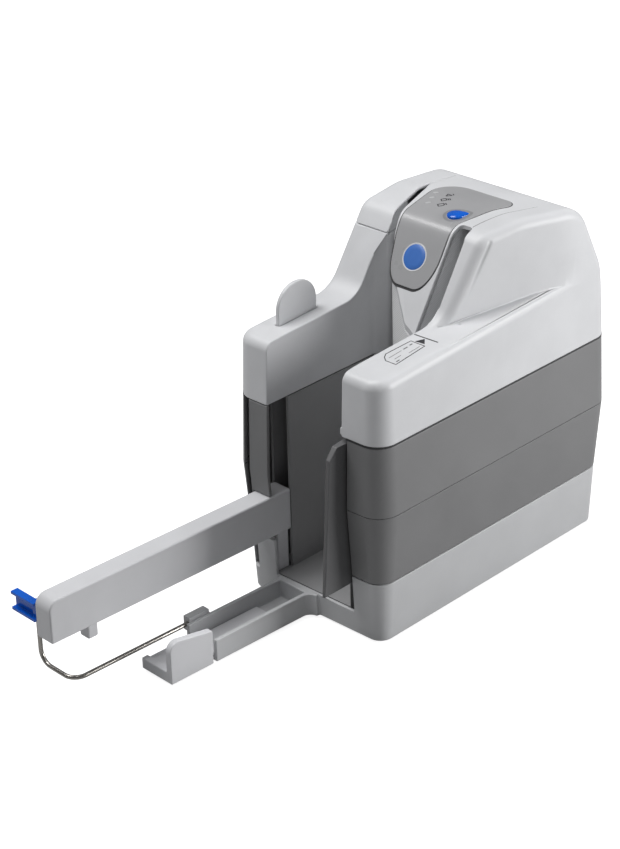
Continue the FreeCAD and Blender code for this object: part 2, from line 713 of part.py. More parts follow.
def band(label, low, low_offset, high, high_offset):
    """One band of the housing, open at the mouth, with a return at the flag."""
    wall, far = size("shell_wall"), size("overrun")
    slope = (high_offset - low_offset) / (high - low)
    shell = layer(low, low_offset, high, high_offset)
    inner = layer(low - far, low_offset - slope * far - wall,
                  high + far, high_offset + slope * far - wall)
    mouth = box(-far, size("mouth_depth"), size("mouth_front"),
                size("exit_front + exit_width"), low - far, high + far)
    inner_edge = box(0, size("return_depth"), size("mouth_front") - wall,
                     size("mouth_front"), low, high)
    feature(label, shell.cut(inner).cut(mouth).fuse(inner_edge).removeSplitter())


def bands():
    gap, bulge = size("shell_gap"), size("mid_bulge")
    band("lower_band", size("base_top") + gap, 0, size("mid_line"), bulge)
    band("upper_band", size("mid_line") + gap, bulge, size("top_seam") - gap,
         size("seam_bulge"))
    low, middle = size("base_top") + gap, size("mid_line")
    high, wall = size("top_seam") - gap, size("shell_wall")
    outer = layer(low, 0, middle, bulge).fuse(
        layer(middle, bulge, high, size("seam_bulge")))
    inner = layer(low, -wall, middle, bulge - wall).fuse(
        layer(middle, bulge - wall, high, size("seam_bulge") - wall))
    strip = box(-size("overrun"), size("mouth_depth"), size("bay_rear"),
                size("exit_front"), low, high)
    feature("end_post", outer.cut(inner).common(strip).cut(arm_cut()).removeSplitter())


def roller_places():
    """Centres of the driven rollers: feed, front drive and rear drive."""
    inset = size("roller_radius - roller_show")
    return {"feed": (size("feed_x"), size("island_front") + inset),
            "front_drive": (size("drive_x"), size("island_front") + inset),
            "rear_drive": (size("turn_centre"), size("turn_y") - inset)}


def pinch_places():
    """Centres of the idle rollers, each across the track from a driven one."""
    reach = size("roller_radius + running_gap + pinch_radius")
    places = roller_places()
    return {"separator": (places["feed"][0], places["feed"][1] - reach),
            "front_pinch": (places["front_drive"][0], places["front_drive"][1] - reach),
            "rear_pinch": (places["rear_drive"][0], places["rear_drive"][1] + reach)}


def roller_windows(radius, places):
    """Openings in the guides that let the rollers reach the track."""
    gap = size("running_gap")
    low, high = size("low_tyre") - gap, size("high_tyre + tyre_height") + gap
    return [rod(radius + gap, x, y, low, high) for x, y in places.values()]


def track_floor():
    """Plate under the track, on posts in the base."""
    bottom, wall = size("foot_height"), size("shell_wall + running_gap")
    draft = size("base_draft")
    slope = draft / size("base_top - foot_height")
    low, high = size("floor_top - floor_wall"), size("floor_top")
    plate = layer(low, -draft + slope * (low - bottom) - wall,
                  high, -draft + slope * (low - bottom) - wall)
    holes = [rod(size("shaft_radius + shaft_clearance"), x, y, low, high)
             for x, y in list(roller_places().values()) + [motor_place()]]
    inset = size("foot_inset + post_radius")
    posts = [rod(size("post_radius"), x, y, bottom + size("tray_wall"), low)
             for x in (inset, size("magnet_x"), size("body_length") - inset)
             for y in (inset, size("body_width") - inset)]
    feature("track_floor", plate.cut(holes).fuse(posts).removeSplitter())


def motor_place():
    return size("motor_x"), size("motor_y")


def island_outline():
    """Plan of the island as a closed outline round the inside of the track."""
    behind = size("turn_centre + turn_radius")
    return ([(behind, size("island_front"), size("turn_radius")),
             (behind, size("turn_y"), size("turn_radius")),
             (size("turn_centre"), size("turn_y"), 0)]
            + flank_line(0)[1:] + island_nose())


def island_guide():
    """Wall round the island that the documents slide along."""
    floor, wall = size("floor_top"), size("guide_wall")
    solid = prism(island_outline(), floor, size("button_top"))
    hole = Part.Face(outer_wire(island_outline(), floor).makeOffset2D(-wall))
    hole = hole.extrude(Vector(0, 0, size("button_top") - floor))
    under = hump(size("shell_wall + shell_gap"), False)
    under = under.fuse(layer(floor, size("seam_bulge - shell_wall - shell_gap"),
                             size("top_seam"), size("seam_bulge - shell_wall - shell_gap")))
    ring = solid.cut(hole).common(under)
    cuts = roller_windows(size("roller_radius"), roller_places())
    cuts.append(image_window(size("island_front") - wall, size("island_front") + wall))
    feature("island_guide", ring.cut(cuts))


def outer_wire(corners, level):
    return rounded_wire([(x, y, level, radius) for x, y, radius in corners])


def image_window(y_low, y_high):
    gap, half = size("running_gap"), size("image_width / 2")
    return box(size("image_x") - half - gap, size("image_x") + half + gap,
               y_low, y_high, size("floor_top"), size("image_top") + gap)


def track_line(shift):
    """Corners of the track's outer side, moved outwards by shift."""
    gap, far = size("track_gap"), size("turn_centre + turn_radius + track_gap") + shift
    near, back = size("island_front") - gap - shift, size("turn_y") + gap + shift
    radius = size("turn_radius") + gap + shift
    bend = size("nose_round")
    return [(size("guide_start"), size("bay_front") - shift, 0),
            (size("funnel_start"), size("bay_front") - shift, bend),
            (size("funnel_end"), near, bend),
            (far, near, radius), (far, back, radius),
            (size("turn_centre"), back, 0),
            (size("guide_start"), size("return_end") + shift, 0)]


def outer_guide():
    """Wall round the outside of the track, with lugs for the idle rollers."""
    floor, wall = size("floor_top"), size("guide_wall")
    line = track_line(wall) + track_line(0)[::-1]
    low = prism(line, floor, size("guide_low_top"))
    tall = prism(line, floor, size("guide_top"))
    tall = tall.common(box(size("tall_start"), size("body_length"), 0,
                           size("body_width"), floor, size("guide_top")))
    tall = tall.common(hump(size("shell_wall + shell_gap"), False).fuse(
        layer(floor, 0, size("top_seam"), 0)))
    guide = low.fuse(tall).fuse(pinch_lugs())
    cuts = roller_windows(size("pinch_radius"), pinch_places())
    cuts += [rod(size("pin_radius + shaft_clearance"), x, y, floor, size("guide_low_top"))
             for x, y in pinch_places().values()]
    near = size("island_front - track_gap")
    cuts.append(image_window(near - 2 * wall, near + wall))
    cuts.append(magnet_window())
    guide = guide.cut(cuts).removeSplitter()
    entry = box(0, size("image_x"), 0, size("island_front"), floor,
                size("guide_low_top"))
    feature("entry_guide", guide.common(entry))
    feature("outer_guide", guide.cut(entry))


def magnet_window():
    gap, half = size("running_gap"), size("magnet_width / 2")
    near = size("island_front - track_gap")
    return box(size("magnet_x") - half - gap, size("magnet_x") + half + gap,
               near - size("magnet_depth"), near + size("guide_wall"),
               size("floor_top"), size("magnet_low + magnet_height") + gap)


def pinch_lugs():
    """Lugs above and below each pair of idle rollers."""
    wall, gap = size("lug_wall"), size("lug_gap")
    half = size("pin_radius + lug_wall")
    lugs = []
    for name, (x, y) in pinch_places().items():
        towards = -1 if name == "rear_pinch" else 1
        face = (size("turn_y") + size("track_gap") if name == "rear_pinch"
                else size("island_front - track_gap"))
        low, high = sorted((y - towards * half, face))
        for z in (size("low_tyre") - gap - wall,
                  size("high_tyre + tyre_height") + gap):
            lugs.append(box(x - half, x + half, low, high, z, z + wall))
    return lugs


def return_guides():
    """Inner wall of the return track, and the wall along the hopper bay."""
    floor, wall, top = size("floor_top"), size("guide_wall"), size("guide_low_top")
    gap = size("track_gap")
    start, end = size("guide_start"), size("rear_wall_end") + wall
    rise = size("return_end") - size("turn_y") - gap
    run = size("turn_centre") - start
    line = [(x, size("turn_y") + rise * (size("turn_centre") - x) / run) for x in (start, end)]
    (x_low, y_low), (x_high, y_high) = line
    plan = [(x_low, y_low, 0), (x_low, y_low - wall, 0),
            (x_high, y_high - wall, 0), (x_high, y_high, 0)]
    feature("return_guide", prism(plan, floor, top))

    slot = size("rear_slot")
    nose, heel = size("rear_nose"), size("heel_place")
    side = [(start, size("bay_rear")), (nose, size("bay_rear")),
            (heel, size("heel_y") + slot), (size("rear_wall_end"), end_of_flank())]
    plan = [(x, y, 0) for x, y in side] + [(x, y + wall, 0) for x, y in side[::-1]]
    feature("bay_wall", prism(plan, floor, top))


def end_of_flank():
    """Y of the rear slot's far side where its wall ends."""
    share = (size("rear_wall_end - heel_place") / size("flank_place - heel_place"))
    return size("heel_y + rear_slot") + share * size("flank_y - heel_y")


def bearing_plate():
    """Steel plate on three posts that holds the tops of the driven shafts."""
    low = size("bearing_height")
    high = low + size("bearing_wall")
    places = roller_places()
    radius = size("roller_radius")
    inner = size("image_depth + guide_wall + island_front")
    near = size("island_front + 2 * guide_wall")
    feed, drive, rear = (places[name] for name in ("feed", "front_drive", "rear_drive"))
    lobe, lip = radius * size("plate_lobe_share"), radius * size("plate_lip_share")
    plan = [(feed[0] - radius, near, 0), (feed[0] + lobe, near, 0),
            (feed[0] + lobe, inner, 0), (drive[0] - radius, inner, 0),
            (drive[0] - radius, near, 0), (drive[0] + radius, near, 0),
            (rear[0] + radius, inner, 0), (rear[0] + radius, rear[1] + lip, 0),
            (rear[0] - radius / 2, rear[1] + lip, 0),
            (feed[0], size("nose_top_y") - radius, 0), (feed[0] - radius, inner, 0)]
    posts = [(feed[0], inner + size("post_radius + running_gap")),
             (drive[0], inner + radius),
             (drive[0], rear[1] - radius)]
    plate = prism(plan, low, high)
    holes = [rod(size("shaft_radius + shaft_clearance"), x, y, low, high)
             for x, y in places.values()]
    stands = [rod(size("post_radius"), x, y, size("floor_top"), low) for x, y in posts]
    feature("bearing_plate", plate.cut(holes).fuse(stands).removeSplitter())


def driven_rollers():
    """Three driven shafts, each with its pulley, and two rubber tyres apiece."""
    core = "roller_radius - tyre_wall"
    for name, (x, y) in roller_places().items():
        x_text, y_text = place_texts(name)
        shaft = body(name + "_shaft")
        pad(shaft, circle(x_text, y_text, "shaft_radius"),
            "shaft_top - foot_height - tray_wall - running_gap",
            "foot_height + tray_wall + running_gap")
        pad(shaft, circle(x_text, y_text, "pulley_radius"), "pulley_height",
            "pulley_bottom")
        for level in ("low_tyre", "high_tyre"):
            pad(shaft, circle(x_text, y_text, core), "tyre_height", level)
        keep(shaft, name + "_shaft")
        tyres = [tube(size("roller_radius"), size(core) + size("shaft_clearance"), x, y,
                      size(level), size(level + " + tyre_height"))
                 for level in ("low_tyre", "high_tyre")]
        feature(name + "_tyres", Part.makeCompound(tyres))


def place_texts(name):
    """Bound texts for the centre of a driven roller."""
    front = "island_front + roller_radius - roller_show"
    rear = "turn_y - roller_radius + roller_show"
    return {"feed": ("feed_x", front), "front_drive": ("drive_x", front),
            "rear_drive": ("turn_centre", rear)}[name]


def tube(outer, inner, x, y, low, high):
    return rod(outer, x, y, low, high).cut(rod(inner, x, y, low, high))


def idle_rollers():
    """Idle rollers and the steel pins that they turn on."""
    bore = size("pin_radius + shaft_clearance")
    low, high = size("low_tyre"), size("high_tyre + tyre_height")
    end = size("lug_gap + lug_wall")
    for name, (x, y) in pinch_places().items():
        sleeve = rod(size("pin_radius + guide_wall"), x, y, low, high)
        wheels = [rod(size("pinch_radius"), x, y, size(level),
                      size(level + " + tyre_height"))
                  for level in ("low_tyre", "high_tyre")]
        roller = sleeve.fuse(wheels).cut(rod(bore, x, y, low, high))
        feature(name + "_roller", roller.removeSplitter())
        feature(name + "_pin", rod(size("pin_radius"), x, y, low - end, high + end))


def motor():
    """Motor can on the track floor, with its shaft and pulley below."""
    can = body("motor")
    pad(can, circle("motor_x", "motor_y", "motor_radius"), "motor_height", "floor_top")
    pocket(can, circle("motor_x", "motor_y", "shaft_radius + shaft_clearance"),
           "motor_height / 2", "floor_top")
    keep(can, "motor")
    pulley = body("motor_pulley")
    pad(pulley, circle("motor_x", "motor_y", "motor_pulley"), "pulley_height",
        "pulley_bottom")
    pad(pulley, circle("motor_x", "motor_y", "shaft_radius"),
        "floor_top + motor_shaft_share * motor_height - pulley_bottom", "pulley_bottom")
    keep(pulley, "motor_pulley")


def belt():
    """Drive belt round the four pulleys."""
    driven = size("pulley_radius + belt_gap")
    places = roller_places()
    wheels = [(motor_place(), size("motor_pulley + belt_gap")),
              (places["rear_drive"], driven), (places["feed"], driven),
              (places["front_drive"], driven)]
    low = size("pulley_bottom + running_gap")
    loops = []
    for extra in (0, size("belt_wall")):
        loops.append(belt_loop(wheels, extra, low))
    outer, inner = (Part.Face(loop).extrude(Vector(0, 0, size("belt_width")))
                    for loop in loops[::-1])
    feature("drive_belt", outer.cut(inner))


def belt_loop(wheels, extra, level):
    """Closed loop that wraps wheels listed anticlockwise."""
    tangents = []
    for index, ((x, y), radius) in enumerate(wheels):
        (far_x, far_y), far_radius = wheels[(index + 1) % len(wheels)]
        span = math.hypot(far_x - x, far_y - y)
        heading = math.atan2(far_y - y, far_x - x)
        swing = heading - math.acos((radius - far_radius) / span)
        out = Vector(math.cos(swing), math.sin(swing), 0)
        tangents.append((Vector(x, y, level) + out * (radius + extra),
                         Vector(far_x, far_y, level) + out * (far_radius + extra), swing))
    edges = []
    for index, (start, end, swing) in enumerate(tangents):
        following, _, next_swing = tangents[(index + 1) % len(tangents)]
        (x, y), radius = wheels[(index + 1) % len(wheels)]
        turn = (next_swing - swing) % (2 * math.pi)
        middle = swing + turn / 2
        point = Vector(x, y, level) + Vector(math.cos(middle), math.sin(middle), 0) * (
            radius + extra)
        edges.append(Part.LineSegment(start, end).toShape())
        edges.append(Part.Arc(end, point, following).toShape())
    return Part.Wire(edges)


def image_bars():
    """Two line sensors that face each other across the track."""
    half = "image_width / 2"
    left, right = "image_x - " + half, "image_x + " + half
    sides = {"front": ("island_front - track_gap - image_depth",
                       "island_front - track_gap - glass_wall"),
             "island": ("island_front + glass_wall", "island_front + image_depth")}
    for name, (low, high) in sides.items():
        bar = body(name + "_image_bar")
        pad(bar, rectangle(left, right, low, high), "image_top - floor_top", "floor_top")
        keep(bar, name + "_image_bar")
        glass = body(name + "_glass")
        edge = high if name == "front" else "island_front"
        pad(glass, rectangle(left, right, edge, edge + " + glass_wall"),
            "image_top - floor_top", "floor_top")
        keep(glass, name + "_glass")


def readers():
    """Magnetic head, ink cartridge and the cradle that holds it."""
    head = body("magnetic_head")
    pad(head, rectangle("magnet_x - magnet_width / 2", "magnet_x + magnet_width / 2",
                        "island_front - track_gap - magnet_depth",
                        "island_front - track_gap"),
        "magnet_low + magnet_height - floor_top", "floor_top")
    keep(head, "magnetic_head")
    ink = body("ink_cartridge")
    pad(ink, rectangle("ink_x", "ink_x + ink_length", "ink_y", "ink_y + ink_depth"),
        "ink_top - ink_bottom", "ink_bottom")
    keep(ink, "ink_cartridge")
    cradle = body("ink_cradle")
    pad(cradle, rectangle("ink_x - cradle_wall", "ink_x + ink_length + cradle_wall",
                          "ink_y", "ink_y + ink_depth"),
        "cradle_wall", "ink_bottom - cradle_wall")
    pad(cradle, rectangle("ink_x - cradle_wall", "ink_x", "ink_y", "ink_y + ink_depth"),
        "ink_top - ink_bottom - 2 * cradle_wall", "ink_bottom")
    pad(cradle, rectangle("ink_x", "ink_x + 2 * cradle_wall", "ink_y",
                          "ink_y + ink_depth"),
        "ink_bottom - cradle_wall - floor_top", "floor_top")
    keep(cradle, "ink_cradle")


def electronics():
    """Circuit board, its two sockets and the small board under the panel."""
    board = body("circuit_board")
    pad(board, rectangle("circuit_start", "circuit_end", "circuit_y",
                         "circuit_y + board_wall"),
        "circuit_top - floor_top", "floor_top")
    keep(board, "circuit_board")
    for name, x, width in (("power_inlet", "power_x", "power_width"),
                           ("data_socket", "data_x", "data_width")):
        socket = body(name)
        far = "socket_show"
        pad(socket, rectangle(x, x + " + " + width, "circuit_y + board_wall", far),
            "socket_height", "socket_z")
        sketch_half = "(" + x + " + " + width + " / 2)"
        reach = width + " / 2 - board_wall"
        pocket(socket, rectangle(sketch_half + " - (" + reach + ")",
                                 sketch_half + " + (" + reach + ")",
                                 "circuit_y + 2 * board_wall", far),
               "socket_height - 2 * board_wall", "socket_z + board_wall")
        keep(socket, name)
    small = body("panel_board")
    reach = "(button_radius + 2 * button_flange + 2 * post_radius + running_gap)"
    pad(small, rectangle("button_x - " + reach, "button_x + " + reach,
                         "button_y - button_radius", "button_y + button_radius"),
        "board_wall", "board_height")
    half = "switch_width / 2"
    pad(small, rectangle("button_x - " + half, "button_x + " + half,
                         "button_y - " + half, "button_y + " + half),
        "button_bottom - button_travel - running_gap - board_height - board_wall",
        "board_height + board_wall")
    keep(small, "panel_board")


def panel_outline():
    near, far = size("panel_near"), size("panel_far")
    left, right = size("panel_left"), size("panel_right")
    tip, end = size("panel_tip"), size("panel_end")
    return [(right, size("panel_low"), end / 2), (size("slot_end"), near, tip),
            (left, near, tip), (left, size("nose_top_y - guide_wall"), tip),
            (size("heel_place"), size("heel_y - guide_wall"), tip),
            (size("flank_place"), far, tip), (right, far, end)]


def skin(low, high):
    """Layer of the island's surface between two heights above it."""
    return hump(-high, False).cut(hump(-low, False))


def control_panel():
    """Thin panel laid over the island, with its button, windows and badge."""
    thick = size("panel_layer")
    low, high = size("top_seam"), size("button_top + overrun")
    plan = prism(panel_outline(), low, high)
    feature("control_panel", skin(0, thick).common(plan).cut(button_hole_wide()))

    lamps = [rod(size("window_radius"), size("window_x") + step * size("window_step"),
                 size("window_y") + 2 * step * size("window_radius"), low, high)
             for step in (0, 1, 2)]
    upper = skin(thick, thick + size("badge_layer"))
    feature("lamp_windows", Part.makeCompound([upper.common(lamp) for lamp in lamps]))

    rise = size("brow_height - shoulder_foot_height")
    run = size("brow_place - shoulder_foot")
    out = Vector(-rise, 0, run).normalize()
    drop = (size("brow_place") - size("badge_x")) * rise / run
    centre = Vector(size("badge_x"), size("badge_y"), size("brow_height") - drop)
    reach = size("badge_radius")
    disc = Part.makeCylinder(reach, 2 * reach, centre - out * reach, out)
    feature("panel_badge", upper.common(disc))


def button_hole_wide():
    return rod(size("button_radius + running_gap"), size("button_x"), size("button_y"),
               size("board_height"), size("button_top + overrun"))


def feed_button():
    """Round button with a flange that keeps it under the cover."""
    button = body("feed_button")
    pad(button, circle("button_x", "button_y", "button_radius"),
        "button_top - button_bottom", "button_bottom")
    round_edges(button, "button_edge", lambda edge: edge.BoundBox.ZMin
                > size("button_top") - size("button_edge") / 2)
    pad(button, circle("button_x", "button_y", "button_radius + button_flange"),
        "button_flange_wall", "button_bottom")
    keep(button, "feed_button")


def flag():
    """Wedge-shaped flag at the mouth, on a steel pin."""
    x, y, root = size("flag_x"), size("flag_y"), size("flag_root")
    low, high = size("flag_bottom"), size("flag_top")
    reach, tip = size("flag_reach"), size("flag_tip")
    edge = size("flag_edge_share") * tip
    plan = [(x, y - root, 0), (x, y + root, 0),
            (-reach, y - root + tip, edge), (-reach, y - root, edge)]
    blade = prism(plan, low, high).fuse(rod(root, x, y, low, high))
    cut, slant = size("flag_chamfer"), size("flag_reach - flag_reach_top")
    side = [(-reach, 0, low), (x + root, 0, low), (x + root, 0, high),
            (-reach + slant + cut, 0, high), (-reach + slant, 0, high - cut)]
    face = Part.Face(Part.makePolygon([Vector(*point) for point in side + side[:1]]))
    blade = blade.common(face.extrude(Vector(0, size("body_width"), 0)))
    bore = rod(size("hinge_radius + hinge_clearance"), x, y, low, high)
    feature("mouth_flag", blade.cut(bore).removeSplitter())
    feature("flag_pin", rod(size("hinge_radius"), x, y, size("floor_top"),
                            size("top_seam + hinge_lug")))


def tray_extension():
    """Pull-out end of the tray with its raised flap and sliding tongue."""
    start = "-tray_length - slit"
    end = "-tray_length - slit - flap_length"
    tray = body("tray_extension")
    pad(tray, polygon([(end, "foot_height"), (start, "foot_height"),
                       (start, "foot_height + flap_low"),
                       (end, "foot_height + flap_high")]),
        "flap_wall", "-flap_wall", "XZ_Plane")
    round_edges(tray, "flap_round", lambda edge: is_flap_corner(edge))
    pad(tray, rectangle(end, start, "0", "tray_width"), "step_height", "foot_height")
    pad(tray, rectangle(end, end + " + lip_width", "0", "tray_width"),
        "step_height + lip_height", "foot_height")
    pad(tray, rectangle(end, start + " + tongue_length", "tray_wall + running_gap",
                        "tray_width - tray_wall - running_gap"),
        "tongue_wall", "foot_height + tray_wall + wire_clearance")
    keep(tray, "tray_extension", True)


def is_flap_corner(edge):
    """True for the upper outer edge of the flap."""
    bounds = edge.BoundBox
    return (bounds.XMax < -size("tray_length + slit + flap_length / 2")
            and bounds.ZMin > size("flap_high"))


def exit_arm():
    """Arm beside the tray, rounded at its outer end, with a foot inside."""
    arm = body("exit_arm")
    pad(arm, rectangle("arm_front", "arm_front + arm_width", "arm_bottom", "arm_top"),
        "arm_reach + arm_root", "-arm_reach", "YZ_Plane")
    round_edges(arm, "arm_round", lambda edge: is_arm_corner(edge))
    pad(arm, rectangle("arm_root - arm_foot", "arm_root", "arm_front + tray_wall",
                       "arm_front + arm_width - tray_wall"),
        "arm_bottom - floor_top", "floor_top")
    pad(arm, rectangle("-block_start - block_length", "-block_start",
                       "arm_front + tray_wall", "arm_front + arm_width - tray_wall"),
        "block_drop", "arm_bottom - block_drop")
    keep(arm, "exit_arm", True)


def is_arm_corner(edge):
    """True for the upper outer edge of the arm's free end."""
    bounds = edge.BoundBox
    return (bounds.XMax < -size("arm_reach - arm_edge")
            and bounds.ZMin > size("arm_top - arm_edge"))


def stop_wire():
    """Bent steel wire that carries the stop, and the block that it slides in."""
    line, cross = size("wire_line"), size("wire_cross")
    height, top = size("wire_height"), size("wire_top")
    end, start = -size("wire_reach"), -size("wire_start")
    bend = size("wire_bend")
    points = [Vector(start, line, height), Vector(end, line, height),
              Vector(end, cross, height), Vector(end, cross, top)]
    path = bent_path(points, bend)
    ring = Part.Wire(Part.Circle(points[0], Vector(-1, 0, 0),
                                 size("wire_radius")).toShape())
    feature("stop_wire", path.makePipeShell([ring], True, False), True)

    depth, length = size("wire_block_depth"), size("wire_block")
    back, radius = size("tray_width"), size("wire_radius")
    block = box(start - length, start - size("wire_block_gap"), back, back + depth,
                height - depth, height + depth / 2 + radius)
    bore = Part.makeCylinder(radius + size("wire_clearance"), 2 * length,
                             Vector(start - 2 * length + depth, line, height),
                             Vector(1, 0, 0))
    feature("wire_guide", block.cut(bore), True)


def bent_path(points, bend):
    """Open path through points with a quarter arc in each inner corner."""
    edges = []
    start = points[0]
    for before, corner, after in zip(points, points[1:], points[2:]):
        back = (before - corner).normalize()
        ahead = (after - corner).normalize()
        arc_start, arc_end = corner + back * bend, corner + ahead * bend
        middle = corner + (back + ahead) * bend * (1 - math.sqrt(0.5))
        edges.append(Part.LineSegment(start, arc_start).toShape())
        edges.append(Part.Arc(arc_start, middle, arc_end).toShape())
        start = arc_end
    edges.append(Part.LineSegment(start, points[-1]).toShape())
    return Part.Wire(edges)


def document_stop():
    """Blue stop: an upright web with a flange above and below."""
    stop = body("document_stop")
    near = "wire_cross - stop_socket / 2"
    far = near + " + stop_length"
    middle = "-wire_reach"
    half = "stop_socket / 2"
    pad(stop, rectangle(middle + " - stop_wall / 2", middle + " + stop_wall / 2", near, far),
        "stop_height", "stop_bottom")
    pad(stop, rectangle(middle + " - " + half, middle + " + " + half,
                        near, near + " + stop_socket"),
        "stop_height", "stop_bottom")
    for level in ("stop_bottom", "stop_bottom + stop_height - stop_wall"):
        pad(stop, rectangle(middle + " - stop_flange / 2", middle + " + stop_wall / 2",
                            near, far), "stop_wall", level)
    pocket(stop, circle(middle, "wire_cross", "wire_radius + wire_clearance"),
           "wire_top + wire_clearance - stop_bottom", "stop_bottom")
    keep(stop, "document_stop", True)


def rear_tab():
    """Rounded tab that stands up through the rear shoulder."""
    tab = body("rear_tab")
    corners = [("tab_y", "guide_low_top"), ("tab_y + tab_wall", "guide_low_top"),
               ("tab_y + tab_wall", "tab_top"), ("tab_y", "tab_top")]
    pad(tab, polygon(corners), "tab_width", "tab_start", "YZ_Plane")
    round_edges(tab, "tab_round", lambda edge: edge.BoundBox.ZMin
                > size("tab_top - tab_wall / 2") and edge.BoundBox.XLength
                < size("tab_wall / 2"))
    keep(tab, "rear_tab")


def feet_and_screws():
    """Four rubber feet and four screws under the base."""
    low = size("foot_height")
    ends = [(x, y) for x in (0, 1) for y in (0, 1)]
    length, width = size("body_length"), size("body_width")

    def spots(inset):
        return [(abs(x * length - inset), abs(y * width - inset)) for x, y in ends]

    feet = [rod(size("foot_radius"), x, y, 0, low) for x, y in spots(size("foot_inset"))]
    feature("rubber_feet", Part.makeCompound(feet))
    heads = [rod(size("screw_radius"), x, y, low - size("screw_head"), low)
             for x, y in spots(size("screw_inset"))]
    feature("base_screws", Part.makeCompound(heads))


def settle():
    """Recompute, check every object and move the origin under the middle."""
    doc.recompute()
    for item in doc.Objects:
        if "Invalid" in item.State or "Error" in item.State:
            raise RuntimeError(item.Name + " failed to build")
    bounds = FreeCAD.BoundBox()
    for item in PARTS:
        if item.Shape.isNull() or not item.Shape.isValid():
            raise RuntimeError(item.Label + " has no valid shape")
        bounds.add(item.Shape.optimalBoundingBox(True, False))
    middle = Vector(bounds.Center.x, bounds.Center.y, bounds.ZMin)
    for item in PARTS:
        item.Placement = FreeCAD.Placement(item.Placement.Base - middle,
                                           item.Placement.Rotation)
    doc.recompute()
    print("box", round(bounds.XLength, 2), round(bounds.YLength, 2),
          round(bounds.ZLength, 2), "origin moved by", middle)


def write():
    os.makedirs("parts", exist_ok=True)
    for item in PARTS:
        item.Shape.exportStep(os.path.join("parts", item.Label + ".step"))
    print(len(PARTS), "sub-parts written")


base_housing()
bands()
covers()
cap_pins()
track_floor()
island_guide()
outer_guide()
return_guides()
bearing_plate()
driven_rollers()
idle_rollers()
motor()
belt()
image_bars()
readers()
electronics()
control_panel()
feed_button()
flag()
tray_extension()
exit_arm()
stop_wire()
document_stop()
rear_tab()
feet_and_screws()
settle()
write()
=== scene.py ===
import json
import math

import bmesh
import bpy
from mathutils import Matrix, Vector
from mathutils.bvhtree import BVHTree
from mathutils.geometry import delaunay_2d_cdt

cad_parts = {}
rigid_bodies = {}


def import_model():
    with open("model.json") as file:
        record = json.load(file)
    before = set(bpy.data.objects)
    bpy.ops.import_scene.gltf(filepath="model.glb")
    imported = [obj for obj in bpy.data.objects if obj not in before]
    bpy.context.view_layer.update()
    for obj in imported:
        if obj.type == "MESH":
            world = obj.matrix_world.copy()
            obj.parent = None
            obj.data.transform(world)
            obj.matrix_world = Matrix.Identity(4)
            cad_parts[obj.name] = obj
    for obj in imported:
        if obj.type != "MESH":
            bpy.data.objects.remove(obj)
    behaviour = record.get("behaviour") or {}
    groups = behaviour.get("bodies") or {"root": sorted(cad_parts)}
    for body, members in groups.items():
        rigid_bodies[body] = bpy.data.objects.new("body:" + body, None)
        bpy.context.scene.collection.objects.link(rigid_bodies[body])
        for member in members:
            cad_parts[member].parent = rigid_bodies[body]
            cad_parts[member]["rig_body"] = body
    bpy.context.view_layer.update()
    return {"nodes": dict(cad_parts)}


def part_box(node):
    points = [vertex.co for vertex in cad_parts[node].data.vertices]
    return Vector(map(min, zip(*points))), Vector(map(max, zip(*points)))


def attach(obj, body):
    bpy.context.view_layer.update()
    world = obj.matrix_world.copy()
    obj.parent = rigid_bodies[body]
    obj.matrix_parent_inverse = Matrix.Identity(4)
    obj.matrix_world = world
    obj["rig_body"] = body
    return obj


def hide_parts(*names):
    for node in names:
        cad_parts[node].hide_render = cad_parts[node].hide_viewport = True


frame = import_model()
nodes = frame["nodes"]
SLOTS = {node: thing.data.materials[0].name.split(".")[0] for node, thing in nodes.items()}
BODIES = {node: thing["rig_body"] for node, thing in nodes.items()}

# Lengths are in millimetres and become metres with MM. A place (x, y, z) on the machine is
# counted from its body's front left corner, while the frame's origin is under its middle.
MM = 0.001
BODY_LENGTH = 226
BASE_LOW, BASE_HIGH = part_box("base_housing")
BODY_CORNER = Vector((BASE_HIGH.x - BODY_LENGTH * MM, BASE_LOW.y, 0))
TRAY_TURN = math.radians(-2.78)
TRAY_CORNER = Vector((0, 63, 0)) * MM
UP = Vector((0, 0, 1))
WHITE = (1, 1, 1, 1)


def spot(x, y, z):
    """A place on the machine as a point of the frame."""
    return BODY_CORNER + Vector((x, y, z)) * MM


def tray_spot(along, across, z):
    """A place in the document pocket, which stands at a slight turn to the body."""
    level = Matrix.Rotation(TRAY_TURN, 3, "Z") @ (Vector((along, across, 0)) * MM)
    return BODY_CORNER + TRAY_CORNER + level + UP * z * MM


class Tree:
    """A node tree, with short ways to add nodes and to join them."""

    def __init__(self, tree):
        self.tree = tree

    def add(self, kind, sockets=None, **settings):
        """A new node; each socket named gets a plain value or another node's output."""
        node = self.tree.nodes.new(kind)
        for key, value in settings.items():
            setattr(node, key, value)
        for key, value in (sockets or {}).items():
            self.feed(value, node.inputs[key])
        return node

    def feed(self, value, socket):
        """Joins an output to a socket, or sets a plain value on it."""
        if hasattr(value, "links"):
            self.tree.links.new(value, socket)
        else:
            socket.default_value = value

    def times(self, source, factor):
        """A value multiplied by a plain number."""
        return self.add("ShaderNodeMath", {0: source, 1: factor}, operation="MULTIPLY").outputs[0]


